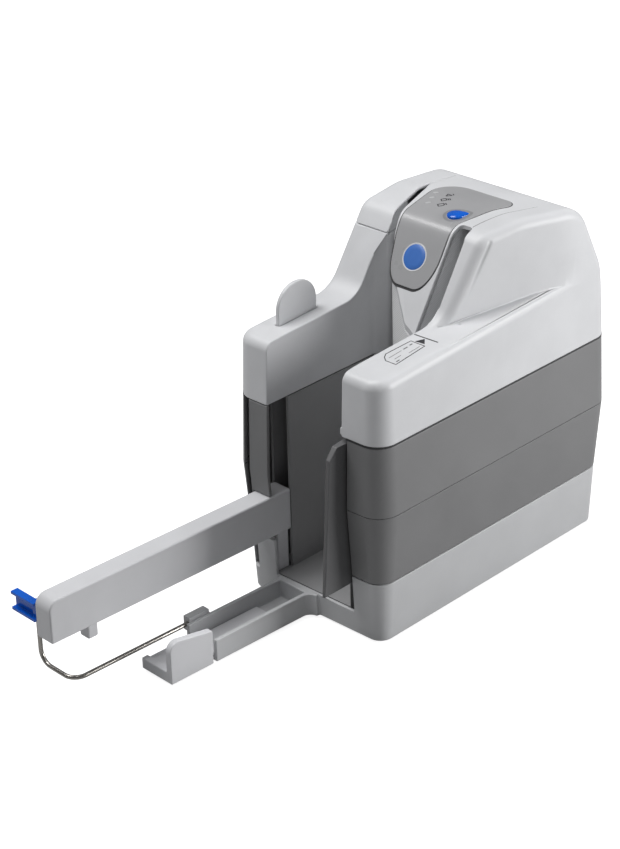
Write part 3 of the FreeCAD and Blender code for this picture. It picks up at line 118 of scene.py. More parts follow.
class Finish(Tree):
    """A material whose nodes read the piece's own object coordinates."""

    def __init__(self, name, material=None):
        self.material = material or bpy.data.materials.new(name)
        self.material.use_nodes = True
        super().__init__(self.material.node_tree)
        self.shader = self.tree.nodes["Principled BSDF"]
        self.place = self.add("ShaderNodeTexCoord").outputs["Object"]

    def set(self, **values):
        """Plain values or outputs on the shader's sockets, with _ for a space in their names."""
        for key, value in values.items():
            self.feed(value, self.shader.inputs[key.replace("_", " ")])

    def turned_place(self, **mapping):
        """The object coordinates after a turn or a stretch."""
        return self.add("ShaderNodeMapping", {"Vector": self.place, **mapping}).outputs["Vector"]

    def noise(self, scale, detail=2.0, roughness=0.5, stretch=None):
        """An even noise; the scale is in waves per metre."""
        place = self.turned_place(Scale=stretch) if stretch else self.place
        return self.add("ShaderNodeTexNoise", {"Vector": place, "Scale": scale, "Detail": detail,
                                               "Roughness": roughness}).outputs["Fac"]

    def spread(self, source, given, wanted=(0, 1)):
        """A value moved from a given range to a wanted one, and held inside it."""
        ends = {"From Min": given[0], "From Max": given[1], "To Min": wanted[0],
                "To Max": wanted[1]}
        return self.add("ShaderNodeMapRange", {"Value": source, **ends}).outputs["Result"]

    def between(self, share, first, second):
        """A colour between two, each of them three plain values or an output."""
        node = self.add("ShaderNodeMix", {"Factor": share}, data_type="RGBA")
        ends = [socket for socket in node.inputs if socket.type == "RGBA"]
        for colour, socket in zip((first, second), ends):
            self.feed(colour if hasattr(colour, "links") else (*colour, 1), socket)
        return [socket for socket in node.outputs if socket.type == "RGBA"][0]

    def shades(self, source, given, colour, dark, bright):
        """A colour that goes from a darker to a brighter tone of itself."""
        return self.between(self.spread(source, given), tone(colour, dark), tone(colour, bright))

    def off_line(self, start, end):
        """Distance of each point from a straight line between two places."""
        way, length = (end - start).normalized(), (end - start).length
        away = self.vector_math("SUBTRACT", self.place, start).outputs[0]
        along = self.vector_math("DOT_PRODUCT", away, way).outputs["Value"]
        part = self.add("ShaderNodeClamp", {"Value": along, "Max": length}).outputs[0]
        foot = self.add("ShaderNodeVectorMath", {0: way, "Scale": part}, operation="SCALE")
        return self.vector_math("DISTANCE", away, foot.outputs[0]).outputs["Value"]

    def vector_math(self, operation, first, second):
        """A sum with two vectors."""
        return self.add("ShaderNodeVectorMath", {0: first, 1: second}, operation=operation)

    def relief(self, height, depth, strength=1.0, after=None):
        """Normals of a surface with a fine relief, its depth in millimetres."""
        node = self.add("ShaderNodeBump", {"Height": height, "Distance": depth * MM,
                                           "Strength": strength})
        if after:
            self.feed(after, node.inputs["Normal"])
        return node.outputs["Normal"]


def tone(colour, factor):
    """A colour made darker or brighter."""
    return tuple(min(1.0, c * factor) for c in colour)


# Most of a noise's values lie in the first range. A corner's pointiness passes into an edge's
# over the second, and edges are painted a paler tone, partly rubbing and partly painted highlight.
NOISE_RANGE, EDGE_POINTINESS, RUBBED_AND_HIGHLIT_TONE = (0.3, 0.7), (0.52, 0.60), 1.35


def moulded(name, colour, roughness=0.45, grain=0.35, depth=0.03, wear_and_highlight=0.12, coat=0.0):
    """Injection moulded plastic: fine eroded grain, faint clouding and paler edges, partly rubbed and
    partly painted highlight.
    """
    f = Finish(name)
    clouds = f.noise(scale=22, detail=4, roughness=0.6)
    specks = f.noise(scale=1 / (grain * MM), roughness=0.7)
    pointiness = f.add("ShaderNodeNewGeometry").outputs["Pointiness"]
    # Paler edges: rubbing, and painted highlight where the edge share is raised.
    edge = f.spread(pointiness, EDGE_POINTINESS, (0, wear_and_highlight))
    body = f.shades(clouds, (0.35, 0.65), colour, dark=0.97, bright=1.03)
    f.set(Base_Color=f.between(edge, body, tone(colour, RUBBED_AND_HIGHLIT_TONE)),
          Roughness=f.spread(clouds, NOISE_RANGE, (roughness - 0.05, roughness + 0.06)),
          Normal=f.relief(specks, depth, strength=0.5))
    if coat:
        f.set(Coat_Weight=coat, Coat_Roughness=0.12)
    return f.material


# The crease on the cover, a bumped hollow with painted shade: the shade's darkest part, where the
# shade and the hollow end, all counted from its middle line, and how much and how dark it is painted.
CREASE_CORE, CREASE_PAINTED_SHADE_END, CREASE_HOLLOW_END = 0.3, 1.7, 2.2
CREASE_PAINTED_SHADE_SHARE, CREASE_PAINTED_SHADE_TONE = 0.62, 0.42


def cover_with_painted_crease_shade(name, colour, start, end):
    """The cover's plastic, with painted shade and a bumped hollow along the soft line of the hump's
    front.
    """
    f = Finish(name, moulded(name, colour, roughness=0.40))
    plain, grain = (f.shader.inputs[word].links[0].from_socket for word in ("Base Color", "Normal"))
    gap = f.off_line(start, end)
    # Painted shade: the colour darkens towards the crease's middle line.
    share = f.spread(gap, (CREASE_CORE * MM, CREASE_PAINTED_SHADE_END * MM), (CREASE_PAINTED_SHADE_SHARE, 0))
    hollow = f.spread(gap, (0, CREASE_HOLLOW_END * MM))
    f.set(Base_Color=f.between(share, plain, tone(colour, CREASE_PAINTED_SHADE_TONE)),
          Normal=f.relief(hollow, depth=0.5, strength=0.6, after=grain))
    return f.material


def gloss(name, colour, roughness=0.12, coat=0.35):
    """Polished moulding, with faint flow lines and a few dust specks."""
    f = Finish(name)
    flow = f.noise(scale=60, detail=3, stretch=(1, 1, 0.3))
    dust = f.noise(scale=900, detail=1, roughness=0.4)
    f.set(Base_Color=f.shades(flow, NOISE_RANGE, colour, dark=0.9, bright=1.1),
          Roughness=f.spread(dust, (0.62, 0.72), (roughness, roughness + 0.2)),
          Normal=f.relief(flow, depth=0.01, strength=0.4), Coat_Weight=coat, Coat_Roughness=0.05)
    return f.material


def hatched(name, colour):
    """Smooth guide plastic with a fine slanting tooling pattern."""
    f = Finish(name)
    slanted = f.turned_place(Rotation=(0, math.radians(38), 0))
    rows = f.add("ShaderNodeTexWave", {"Vector": slanted, "Scale": 320}, bands_direction="X")
    rows = rows.outputs["Fac"]
    clouds = f.noise(scale=60, detail=3)
    f.set(Base_Color=f.between(rows, tone(colour, 0.88), tone(colour, 1.08)),
          Roughness=f.spread(clouds, NOISE_RANGE, (0.38, 0.5)),
          Normal=f.relief(rows, depth=0.05, strength=0.5))
    return f.material


def drawn_steel(name, colour=(0.62, 0.62, 0.63), roughness=0.24, along=(1, 1, 0.05)):
    """Steel with fine drawing lines."""
    f = Finish(name)
    lines = f.noise(scale=1500, detail=3, roughness=0.6, stretch=along)
    clouds = f.noise(scale=80, detail=3)
    f.set(Metallic=1.0, Base_Color=f.shades(clouds, NOISE_RANGE, colour, dark=0.9, bright=1.08),
          Roughness=f.spread(lines, NOISE_RANGE, (roughness - 0.06, roughness + 0.12)),
          Normal=f.relief(lines, depth=0.01, strength=0.5))
    return f.material


def rubber(name, colour, roughness=0.75):
    """Matt rubber with a pebbled skin and pale bloom."""
    f = Finish(name)
    pebbles = f.noise(scale=1800, detail=3, roughness=0.7)
    bloom = f.noise(scale=45, detail=4, roughness=0.6)
    f.set(Base_Color=f.shades(bloom, (0.35, 0.75), colour, dark=1, bright=1.7),
          Roughness=f.spread(bloom, NOISE_RANGE, (roughness - 0.08, roughness + 0.1)),
          Normal=f.relief(pebbles, depth=0.06, strength=0.7))
    return f.material


def clear(name, colour, roughness=0.05, through=0.9):
    """Clear moulding or glass, a little hazed."""
    f = Finish(name)
    haze = f.noise(scale=150, detail=3, roughness=0.6)
    f.set(Base_Color=f.between(f.spread(haze, (0.4, 0.7)), colour, tone(colour, 0.93)),
          Roughness=f.spread(haze, NOISE_RANGE, (roughness, roughness + 0.08)),
          Transmission_Weight=through, IOR=1.5)
    return f.material


def board(name):
    """Circuit board: green lacquer over paler copper tracks."""
    f = Finish(name)
    upright = f.turned_place(Rotation=(math.radians(90), 0, 0))
    tracks = f.add("ShaderNodeTexBrick", {
        "Vector": upright, "Scale": 130, "Mortar Size": 0.03, "Color1": (0.012, 0.10, 0.04, 1),
        "Color2": (0.016, 0.13, 0.05, 1), "Mortar": (0.05, 0.26, 0.09, 1)})
    f.set(Base_Color=tracks.outputs["Color"],
          Roughness=f.spread(f.noise(scale=300), NOISE_RANGE, (0.25, 0.4)),
          Normal=f.relief(tracks.outputs["Fac"], depth=0.03, strength=0.6))
    return f.material


COVER_WHITE = (0.66, 0.665, 0.68)
FINISHES = {
    "cover_white": moulded("eroded_cover_white", COVER_WHITE, roughness=0.40),
    "base_grey": moulded("eroded_base_grey", (0.53, 0.535, 0.545), roughness=0.42),
    # The band's and the flag's edges are painted paler as a highlight along their rims.
    "band_grey": moulded("eroded_band_grey", (0.20, 0.20, 0.203), roughness=0.44, wear_and_highlight=0.3),
    "flag_dark": moulded("eroded_flag_dark", (0.125, 0.125, 0.128), wear_and_highlight=0.3),
    "guide_grey": moulded("smooth_guide_grey", (0.30, 0.30, 0.305), roughness=0.36, grain=0.2,
                          depth=0.012),
    "panel_grey": moulded("satin_panel_grey", (0.37, 0.37, 0.378), roughness=0.30, grain=0.18,
                          depth=0.01, coat=0.25),
    "signal_blue": gloss("gloss_signal_blue", (0.004, 0.115, 0.62)),
    "lamp_clear": clear("lamp_window_clear", (0.56, 0.565, 0.57), roughness=0.3, through=0.15),
    "steel": drawn_steel("drawn_steel"),
    "foot_rubber": rubber("foot_rubber_black", (0.02, 0.02, 0.021)),
    "roller_rubber": rubber("tyre_rubber_grey", (0.05, 0.05, 0.053), roughness=0.65),
    "roller_plastic": moulded("roller_ivory", (0.62, 0.60, 0.54), roughness=0.35, grain=0.15,
                              depth=0.01),
    "bar_black": moulded("image_bar_black", (0.025, 0.025, 0.027), roughness=0.3, grain=0.2,
                         depth=0.012),
    "clear_glass": clear("scan_glass_clear", (0.9, 0.93, 0.92), roughness=0.03, through=0.95),
    "board_green": board("board_lacquer_green"),
    "belt_black": rubber("belt_rubber_black", (0.03, 0.03, 0.03), roughness=0.6),
}
# A near-black finish for painted shadow in grooves and gaps.
SHADOW_LINE = moulded("groove_dark", (0.035, 0.035, 0.037), roughness=0.6, grain=0.2, depth=0.01)
SEAM_GREY = moulded("seam_grey", (0.22, 0.22, 0.226), roughness=0.5, grain=0.2, depth=0.01)
MARK_INK = moulded("mark_ink", (0.03, 0.03, 0.034), roughness=0.5, grain=0.15, depth=0.008)
MARK_FAINT = moulded("mark_ink_faint", (0.13, 0.13, 0.136), roughness=0.5, grain=0.15,
                     depth=0.008)
# Painted shade of a dimple round the button: a darker tone of the panel's grey.
DIMPLE_PAINTED_SHADE = moulded("dimple_grey", (0.25, 0.25, 0.257), roughness=0.35, grain=0.18, depth=0.01)
BADGE_BLUE = gloss("badge_blue", (0.05, 0.165, 0.52), roughness=0.38, coat=0)
WIRE_STEEL = drawn_steel("wire_steel", (0.42, 0.40, 0.37), roughness=0.26, along=(0.3, 1, 1))
ARM_PALE = moulded("eroded_arm_pale", (0.64, 0.642, 0.66), roughness=0.40)
CREASE_START, CREASE_END = spot(93.5, 15.6, 192.5), spot(122, 14.9, 238.6)
FINISHES_BY_NODE = {
    "main_cover": cover_with_painted_crease_shade("creased_cover_white", COVER_WHITE, CREASE_START, CREASE_END),
    "exit_arm": ARM_PALE,
    "tray_extension": ARM_PALE,
    "island_guide": hatched("hatched_slot_grey", (0.88, 0.885, 0.89)),
    "flag_pin": drawn_steel("blackened_pin", (0.06, 0.06, 0.062), roughness=0.4),
}

SAME_POINT = 1e-6
FLAT_ANGLE = 0.6


def linked(name, content):
    """A new object in the scene."""
    thing = bpy.data.objects.new(name, content)
    bpy.context.scene.collection.objects.link(thing)
    return thing


def mesh_of(name, form):
    """The mesh that a bmesh holds; the bmesh is freed."""
    mesh = bpy.data.meshes.new(name)
    form.to_mesh(mesh)
    form.free()
    return mesh


def new_piece(name, form):
    """A piece with the mesh that a bmesh holds, its faces turned outwards."""
    bmesh.ops.recalc_face_normals(form, faces=form.faces)
    return linked(name, mesh_of(name, form))


def node_form(node):
    """A node's mesh as a bmesh, with its loose triangles joined."""
    form = bmesh.new()
    form.from_mesh(nodes[node].data)
    bmesh.ops.remove_doubles(form, verts=form.verts, dist=SAME_POINT)
    return form


def merged_copy(node, name):
    """A piece with a node's shape, each of its flats one face."""
    form = node_form(node)
    bmesh.ops.dissolve_limit(form, angle_limit=math.radians(FLAT_ANGLE), verts=form.verts,
                             edges=form.edges)
    mesh = mesh_of(name, form)
    for spare in ("custom_normal", "sharp_edge"):
        if spare in mesh.attributes:
            mesh.attributes.remove(mesh.attributes[spare])
    return linked(name, mesh)


def shade(piece, angle=32):
    """Smooth shading, apart from edges that turn by more than an angle."""
    piece.data.shade_smooth()
    piece.data.set_sharp_from_angle(angle=math.radians(angle))


def dress(piece, slot, body, *replaced, finish=None):
    """Gives a piece its finish, the slot's own where none is given, and its body, and hides the nodes
    that it stands for.
    """
    piece.data.materials.clear()
    piece.data.materials.append(finish or FINISHES[slot])
    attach(piece, body)
    if replaced:
        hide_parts(*replaced)


# Shares of the edge radius. Edges shorter than SHORT_EDGE of the radius above SHORT_LEVEL and
# the narrow ends of the document slot (x, y, reach) stay sharp.
SHORT_EDGE, SHORT_LEVEL = 0.5, 146
COVER_FOOT, COVER_FOOT_SHARE = 145, 0.55
SHARP_PLACES = ((84, 30, 5), (126, 33, 12))
SLOT_LIP_Y, SLOT_LIP_START, SLOT_LIP_END = 30, 88, 122
SLOT_LIP_REACH, SLOT_LIP_SHARE, COVER_SHARE = 1.5, 0.9, 0.5
BAND_SEAM, BAND_SEAM_REACH, BAND_SEAM_SHARE = 95.2, 1.5, 0.3
CLEAR_OF_EDGE = 0.1


def open_above(edge, middle, shape):
    """True where an edge has nothing of its own piece above it."""
    out = sum((face.normal for face in edge.link_faces), Vector())
    return shape.ray_cast(middle + out * CLEAR_OF_EDGE * MM, UP)[0] is None


def too_short(edge, width):
    """True where an edge or a neighbour is much shorter than the radius."""
    near = (other.calc_length() for vert in edge.verts for other in vert.link_edges)
    return min(near) < SHORT_EDGE * width * MM


def soften(piece, width, segments, angle=38, share=None, clamp=False):
    """Rounds the sharp edges of a moulding, as its tool does, each to a share of the width."""
    form = bmesh.new()
    form.from_mesh(piece.data)
    weight = form.edges.layers.float.new("bevel_weight_edge")
    shape = BVHTree.FromBMesh(form)
    for edge in form.edges:
        if edge.calc_face_angle(0) > math.radians(angle):
            middle = (edge.verts[0].co + edge.verts[1].co) / 2
            if share is None:
                edge[weight] = 1
            elif middle.z <= SHORT_LEVEL * MM or not too_short(edge, width):
                edge[weight] = share(middle, open_above(edge, middle, shape))
    form.to_mesh(piece.data)
    form.free()
    rounding = piece.modifiers.new("edge_radius", "BEVEL")
    rounding.width = width * MM
    rounding.segments = segments
    rounding.limit_method = "WEIGHT"
    rounding.miter_outer = "MITER_ARC"
    rounding.use_clamp_overlap = clamp
    rounding.harden_normals = True


def slot_rim(place, is_open):
    """The lips of the document slot are well rounded, hidden edges inside not at all."""
    x, y, z = (place - BODY_CORNER) / MM
    if z < COVER_FOOT:
        return COVER_FOOT_SHARE
    if not is_open or any(math.dist((x, y), (a, b)) < reach for a, b, reach in SHARP_PLACES):
        return 0
    on_lip = abs(y - SLOT_LIP_Y) < SLOT_LIP_REACH and SLOT_LIP_START < x < SLOT_LIP_END
    return SLOT_LIP_SHARE if on_lip else COVER_SHARE


def seen_edges(place, is_open):
    """Edges that face out at the top or at the lower rim."""
    return 1 if is_open or place.z < COVER_FOOT * MM else 0


def below_the_seam(place, is_open):
    """A band's upper edge is well rounded, and the fine line between the bands is not."""
    return BAND_SEAM_SHARE if abs(place.z / MM - BAND_SEAM) < BAND_SEAM_REACH else 1


# Pieces that stand for nodes: node, name, edge radius, its segments, share of the radius.
MOULDINGS = (
    ("main_cover", "front_cover_moulding", 1.6, 4, slot_rim),
    ("rear_housing", "rear_cover_moulding", 0.9, 3, seen_edges),
    ("rear_cap", "hinged_cap_moulding", 0.9, 3, seen_edges),
    ("base_housing", "base_moulding", 0.8, 3, None),
    ("lower_band", "lower_band_moulding", 1.0, 3, below_the_seam),
    ("upper_band", "upper_band_moulding", 1.0, 3, below_the_seam),
    ("end_post", "end_post_moulding", 0.6, 3, None),
    ("tray_extension", "tray_end_moulding", 0.8, 3, None),
    ("exit_arm", "exit_arm_moulding", 1.4, 4, None),
    ("document_stop", "stop_moulding", 0.4, 2, None),
    ("mouth_flag", "flag_moulding", 0.5, 3, None),
    ("rear_tab", "tab_moulding", 0.8, 3, None),
    ("entry_guide", "entry_guide_moulding", 0.3, 2, None),
    ("wire_guide", "wire_guide_moulding", 0.3, 2, None),
)


def moulding(node, name, width, segments, share):
    """Stands for a node with the same shape and softened edges."""
    piece = merged_copy(node, name)
    soften(piece, width, segments, share=share)
    shade(piece)
    dress(piece, SLOTS[node], BODIES[node], node, finish=FINISHES_BY_NODE.get(node))


# Lines and sheets that lie on a surface reach a little under it and stand a little proud of it.
ABOVE_ALL = 400
SKIN_FOOT, SKIN_TOP = -0.25, 0.04
LINE_STEP, LEAST_ARC_STEPS = 0.8, 3


class Skin:
    """The top surface of a node, to lay thin things on."""

    def __init__(self, node):
        mesh = nodes[node].data
        corners = [vert.co.copy() for vert in mesh.vertices]
        self.tree = BVHTree.FromPolygons(corners, [list(face.vertices) for face in mesh.polygons])

    def at(self, x, y, lift=0):
        """The surface under a place, or a point above it by some lift."""
        place, normal, _, _ = self.tree.ray_cast(spot(x, y, ABOVE_ALL), -UP)
        if normal.z < 0:
            normal = -normal
        return place + normal * (lift * MM)


class Crest(Skin):
    """The island's own surface, which has one side profile all the way across.

    The profile is read along one line as far as CHANGE, and beyond it along another that
    misses the button's hole.
    """

    FRONT_LINE, REAR_LINE, CHANGE = 55, 66, 116

    def at(self, x, y, lift=0):
        line = self.FRONT_LINE if x < self.CHANGE else self.REAR_LINE
        place = super().at(x, line, lift)
        place.y += (y - line) * MM
        return place


def densified(points, step=LINE_STEP, closed=False):
    """The same line with points no further apart than the step."""
    line = []
    for (ax, ay), (bx, by) in zip(points, points[1:] + points[:1] if closed else points[1:]):
        count = max(1, math.ceil(math.hypot(bx - ax, by - ay) / step))
        line += [(ax + (bx - ax) * i / count, ay + (by - ay) * i / count) for i in range(count)]
    return line if closed else line + [points[-1]]


def corner_ways(corners, index):
    """A corner of a closed outline, and the directions to the ones before and after it."""
    corner = Vector(corners[index][:2])
    back = (Vector(corners[index - 1][:2]) - corner).normalized()
    ahead = (Vector(corners[(index + 1) % len(corners)][:2]) - corner).normalized()
    return corner, back, ahead


def corner_arc(corner, back, ahead, radius):
    """Centre of the arc that rounds a corner, and its start and end seen from there."""
    half = back.angle(ahead) / 2
    centre = corner + (back + ahead).normalized() * (radius / math.sin(half))
    start, end = (corner + way * (radius / math.tan(half)) - centre for way in (back, ahead))
    return centre, start, end


def rounded(corners):
    """A closed line through corners (x, y, radius), with an arc in each corner."""
    line = []
    for index, (_, _, radius) in enumerate(corners):
        centre, start, end = corner_arc(*corner_ways(corners, index), radius)
        swing = start.angle_signed(end)
        count = max(LEAST_ARC_STEPS, math.ceil(abs(swing) * radius / LINE_STEP))
        line += [tuple(centre + Matrix.Rotation(-swing * i / count, 2) @ start)
                 for i in range(count + 1)]
    return densified(line, closed=True)


def grown(corners, gap):
    """The same rounded outline, moved outwards by a gap."""
    moved = []
    for index, (_, _, radius) in enumerate(corners):
        corner, back, ahead = corner_ways(corners, index)
        inner = corner_arc(corner, back, ahead, gap)[0]
        moved.append((*(2 * corner - inner), radius + gap))
    return moved


def wrap(form, here, there):
    """Faces between two rings of corners, of which one may be a single pole."""
    count = max(len(here), len(there))
    for k in range(count):
        n = (k + 1) % count
        corners = (here[k % len(here)], here[n % len(here)],
                   there[n % len(there)], there[k % len(there)])
        form.faces.new(list(dict.fromkeys(corners)))


def close_ends(form, rings):
    """A face over the first ring and one over the last."""
    form.faces.new(rings[0])
    form.faces.new(rings[-1])


def circle(form, centre, side, up, radius, sides):
    """Corners evenly round a circle."""
    turns = (2 * math.pi * k / sides for k in range(sides))
    return [form.verts.new(centre + (side * math.cos(a) + up * math.sin(a)) * radius)
            for a in turns]


def ribbon(name, surface, points, width, closed=False, low=SKIN_FOOT, high=SKIN_TOP):
    """A fine line that follows a surface, closed all round; its width may change on the way."""
    line = densified(points, closed=closed)
    form = bmesh.new()
    rows = []
    last = len(line) - 1
    for i, (x, y) in enumerate(line):
        before = line[i - 1] if closed or i else line[i]
        after = line[(i + 1) % len(line)] if closed or i < last else line[i]
        way = Vector((after[0] - before[0], after[1] - before[1])).normalized()
        reach = width(i / last) / 2 if callable(width) else width / 2
        left = (x - way.y * reach, y + way.x * reach)
        right = (x + way.y * reach, y - way.x * reach)
        rows.append([form.verts.new(surface.at(*side, lift)) for side, lift
                     in ((left, high), (right, high), (right, low), (left, low))])
    for here, there in zip(rows, rows[1:] + rows[:1] if closed else rows[1:]):
        wrap(form, here, there)
    if not closed:
        close_ends(form, rows)
    return new_piece(name, form)


# The triangulation's own number for triangles inside the outline and outside its holes.
INSIDE_WITH_HOLES = 2
PLAN_TOLERANCE = 1e-5
RIM_CLEARANCE = 0.45


def patch(name, surface, outline, low, high, hole=None, spacing=1.6):
    """A thin sheet inside an outline that follows a surface, closed all round."""
    loops = [outline] + ([hole] if hole else [])
    corners = [Vector(point) for loop in loops for point in loop]
    edges, first = [], 0
    for loop in loops:
        edges += [(first + i, first + (i + 1) % len(loop)) for i in range(len(loop))]
        first += len(loop)
    xs, ys = zip(*outline)
    for i in range(1, int((max(xs) - min(xs)) / spacing)):
        for j in range(1, int((max(ys) - min(ys)) / spacing)):
            point = Vector((min(xs) + i * spacing, min(ys) + j * spacing))
            if clearance(point, loops) > spacing * RIM_CLEARANCE:
                corners.append(point)
    plan, _, faces, *_ = delaunay_2d_cdt(corners, edges, [], INSIDE_WITH_HOLES, PLAN_TOLERANCE)
    form = bmesh.new()
    top = [form.verts.new(surface.at(p.x, p.y, high)) for p in plan]
    under = [form.verts.new(surface.at(p.x, p.y, low)) for p in plan]
    for a, b, c in faces:
        form.faces.new((top[a], top[b], top[c]))
        form.faces.new((under[c], under[b], under[a]))
    below = dict(zip(top, under))
    for edge in [edge for edge in form.edges if edge.is_boundary and edge.verts[0] in below]:
        a, b = edge.verts
        form.faces.new((a, b, below[b], below[a]))
    loose = [vert for vert in form.verts if not vert.link_faces]
    bmesh.ops.delete(form, geom=loose, context="VERTS")
    return new_piece(name, form)


def inside(point, loops):
    """True where a point lies inside the outer loop and outside the hole."""
    crossings = 0
    for loop in loops:
        for (ax, ay), (bx, by) in zip(loop, loop[1:] + loop[:1]):
            if (ay > point.y) != (by > point.y):
                crossings += point.x < ax + (point.y - ay) / (by - ay) * (bx - ax)
    return crossings % 2 == 1


def clearance(point, loops):
    """Distance to the nearest outline point, or less than none outside."""
    if not inside(point, loops):
        return -1
    return min((point - Vector(p)).length for loop in loops for p in loop)


def tube(name, points, radius, bend, sides=20, arc_steps=8):
    """A bent rod through corners, with an arc of the bend's radius in each."""
    line = [points[0]]
    for before, corner, after in zip(points, points[1:], points[2:]):
        back, ahead = (before - corner).normalized(), (after - corner).normalized()
        centre, start, end = corner_arc(corner, back, ahead, bend)
        line += [centre + start.slerp(end, i / arc_steps).normalized() * bend
                 for i in range(arc_steps + 1)]
    line.append(points[-1])
    form = bmesh.new()
    rings = []
    side = (line[1] - line[0]).orthogonal().normalized()
    for i, point in enumerate(line):
        way = (line[min(i + 1, len(line) - 1)] - line[max(i - 1, 0)]).normalized()
        side = (side - way * side.dot(way)).normalized()
        rings.append(circle(form, point, side, way.cross(side), radius, sides))
    for here, there in zip(rings, rings[1:]):
        wrap(form, here, there)
    close_ends(form, rings)
    return new_piece(name, form)


def lathed(name, centre, axis, profile, sides=48):
    """A turned piece from (radius, height) steps about an axis."""
    form = bmesh.new()
    axis = axis.normalized()
    side = axis.orthogonal().normalized()
    up = axis.cross(side)
    rings = []
    for radius, height in profile:
        middle = centre + axis * height * MM
        rings.append(circle(form, middle, side, up, radius * MM, sides) if radius
                     else [form.verts.new(middle)])
    hollow = profile[0][0] > 0
    for here, there in zip(rings, rings[1:] + rings[:1] if hollow else rings[1:]):
        wrap(form, here, there)
    return new_piece(name, form)


# The panel's plan as corners (x, y, radius), its rim, and the painted shadow line in the groove round
# it.
PANEL_EDGE = [(170, 30.5, 7.9), (124, 42, 10.5), (92.6, 42, 13), (92.6, 76, 13),
              (110, 82.5, 10.5), (150, 87.5, 10.5), (170, 87.5, 15.9)]
PANEL_FOOT, PANEL_TOP, PANEL_RIM = -0.1, 0.6, 0.3
PANEL_SPACING = 1.5
PANEL_SHADOW_GAP, PANEL_SHADOW_WIDTH = 0.45, 0.9
# Printed marks and the dimple's painted shade on the panel lie between these heights above the
# island.
PRINT_AND_SHADE_FOOT, PRINT_AND_SHADE_TOP = 0.4, 0.63

# The button's drop: its place and turn, how far its middle lies from the place, its half
# length and half width, and how much the tip is drawn out.
BUTTON = (131.3, 50.2)
BUTTON_TURN = math.radians(-41)
DROP_SHIFT, DROP_LENGTH, DROP_WIDTH, DROP_TIP = 0.6, 7.4, 7.6, 0.7
DROP_CORNERS = 40
BUTTON_FOOT, BUTTON_SIDE, BUTTON_DOME = -2.4, 0.7, 2.2
DOME_ANGLES = (0, 14, 28, 42, 56, 70, 81)
# Gaps of the drop's outline round the button, and the widths of the lines along them. The well's line
# is painted shadow in the hole round the button.
HOLE_GAP = 0.35
WELL_GAP, WELL_WIDTH, WELL_FOOT, WELL_TOP = 0.2, 0.5, -0.3, 0.1
DIMPLE_SHADE_GAP, DIMPLE_SHADE_WIDTH = 1.5, 2.0


def teardrop(grow):
    """Plan of the button: round at its back and drawn out to a tip."""
    line = []
    for k in range(DROP_CORNERS):
        t = 2 * math.pi * k / DROP_CORNERS
        drop = Vector((DROP_SHIFT + (DROP_LENGTH + grow) * math.cos(t),
                       (DROP_WIDTH + grow) * math.sin(t) * math.sin(t / 2) ** DROP_TIP))
        line.append(tuple(Vector(BUTTON) + Matrix.Rotation(BUTTON_TURN, 2) @ drop))
    return line


def panel(crest):
    """The satin panel: a thin skin with a rolled edge and a hole for the button, a painted shadow
    line round it, a painted shadow ring in the hole and painted dimple shade round the button.
    """
    skin = patch("panel_skin", crest, rounded(PANEL_EDGE), PANEL_FOOT, PANEL_TOP,
                 teardrop(HOLE_GAP), PANEL_SPACING)
    soften(skin, PANEL_RIM, segments=3, angle=50, clamp=True)
    shade(skin, angle=40)
    dress(skin, "panel_grey", "housing", "control_panel")
    # Painted shadow: a near-black line in the groove round the panel.
    panel_shadow_line = rounded(grown(PANEL_EDGE, PANEL_SHADOW_GAP))
    groove = ribbon("panel_painted_shadow_line", crest, panel_shadow_line, PANEL_SHADOW_WIDTH, closed=True)
    dress(groove, "bar_black", "housing", finish=SHADOW_LINE)
    # Painted shadow: a near-black ring in the hole round the button.
    well = ribbon("button_well_painted_shadow", crest, teardrop(WELL_GAP), WELL_WIDTH, True, WELL_FOOT, WELL_TOP)
    dress(well, "bar_black", "housing", finish=SHADOW_LINE)
    # Painted shade: a darker ring round the button stands for a dimple.
    dimple = ribbon("button_dimple_painted_shade", crest, teardrop(DIMPLE_SHADE_GAP), DIMPLE_SHADE_WIDTH, True,
                    PRINT_AND_SHADE_FOOT, PRINT_AND_SHADE_TOP)
    dress(dimple, "panel_grey", "housing", finish=DIMPLE_PAINTED_SHADE)


def button(crest):
    """The feed button: a glossy drop with a domed top."""
    form = bmesh.new()
    level = crest.at(*BUTTON).z / MM
    middle = Vector(BUTTON)
    angles = [math.radians(angle) for angle in DOME_ANGLES]
    steps = [(1, BUTTON_FOOT)]
    steps += [(math.cos(a), BUTTON_SIDE + BUTTON_DOME * math.sin(a)) for a in angles]
    rings = [[form.verts.new(spot(*(middle + (Vector(point) - middle) * share), level + height))
              for point in teardrop(0)] for share, height in steps]
    for here, there in zip(rings, rings[1:]):
        wrap(form, here, there)
    close_ends(form, rings)
    piece = new_piece("button_drop", form)
    smooth = piece.modifiers.new("smooth_drop", "SUBSURF")
    smooth.levels = smooth.render_levels = 1
    shade(piece, angle=60)
    dress(piece, "signal_blue", "button", "feed_button")


# The badge's place, how far before and behind it the island's slope is read, its lift, and
# the profiles (radius, height) of its disc and ring.
BADGE = (103.2, 61.6)
BADGE_SLOPE = (97, 110)
BADGE_LIFT = 0.6
BADGE_DISC = [(0, -0.3), (8.5, -0.3), (8.5, 0.12), (8.2, 0.3), (5, 0.36), (0, 0.38)]
BADGE_RING = [(8.5, -0.3), (9.5, -0.3), (9.5, 0.05), (9.3, 0.18), (8.7, 0.18), (8.5, 0.1)]


def badge(crest):
    """A plain round badge with a pale ring."""
    low, high = (crest.at(x, BADGE[1]) for x in BADGE_SLOPE)
    slope = high - low
    axis = Vector((-slope.z, 0, slope.x))
    centre = crest.at(*BADGE, BADGE_LIFT)
    disc = lathed("badge_disc", centre, axis, BADGE_DISC)
    shade(disc, angle=30)
    dress(disc, "signal_blue", "housing", "panel_badge", finish=BADGE_BLUE)
    ring = lathed("badge_ring", centre, axis, BADGE_RING)
    shade(ring, angle=30)
    dress(ring, "cover_white", "housing")


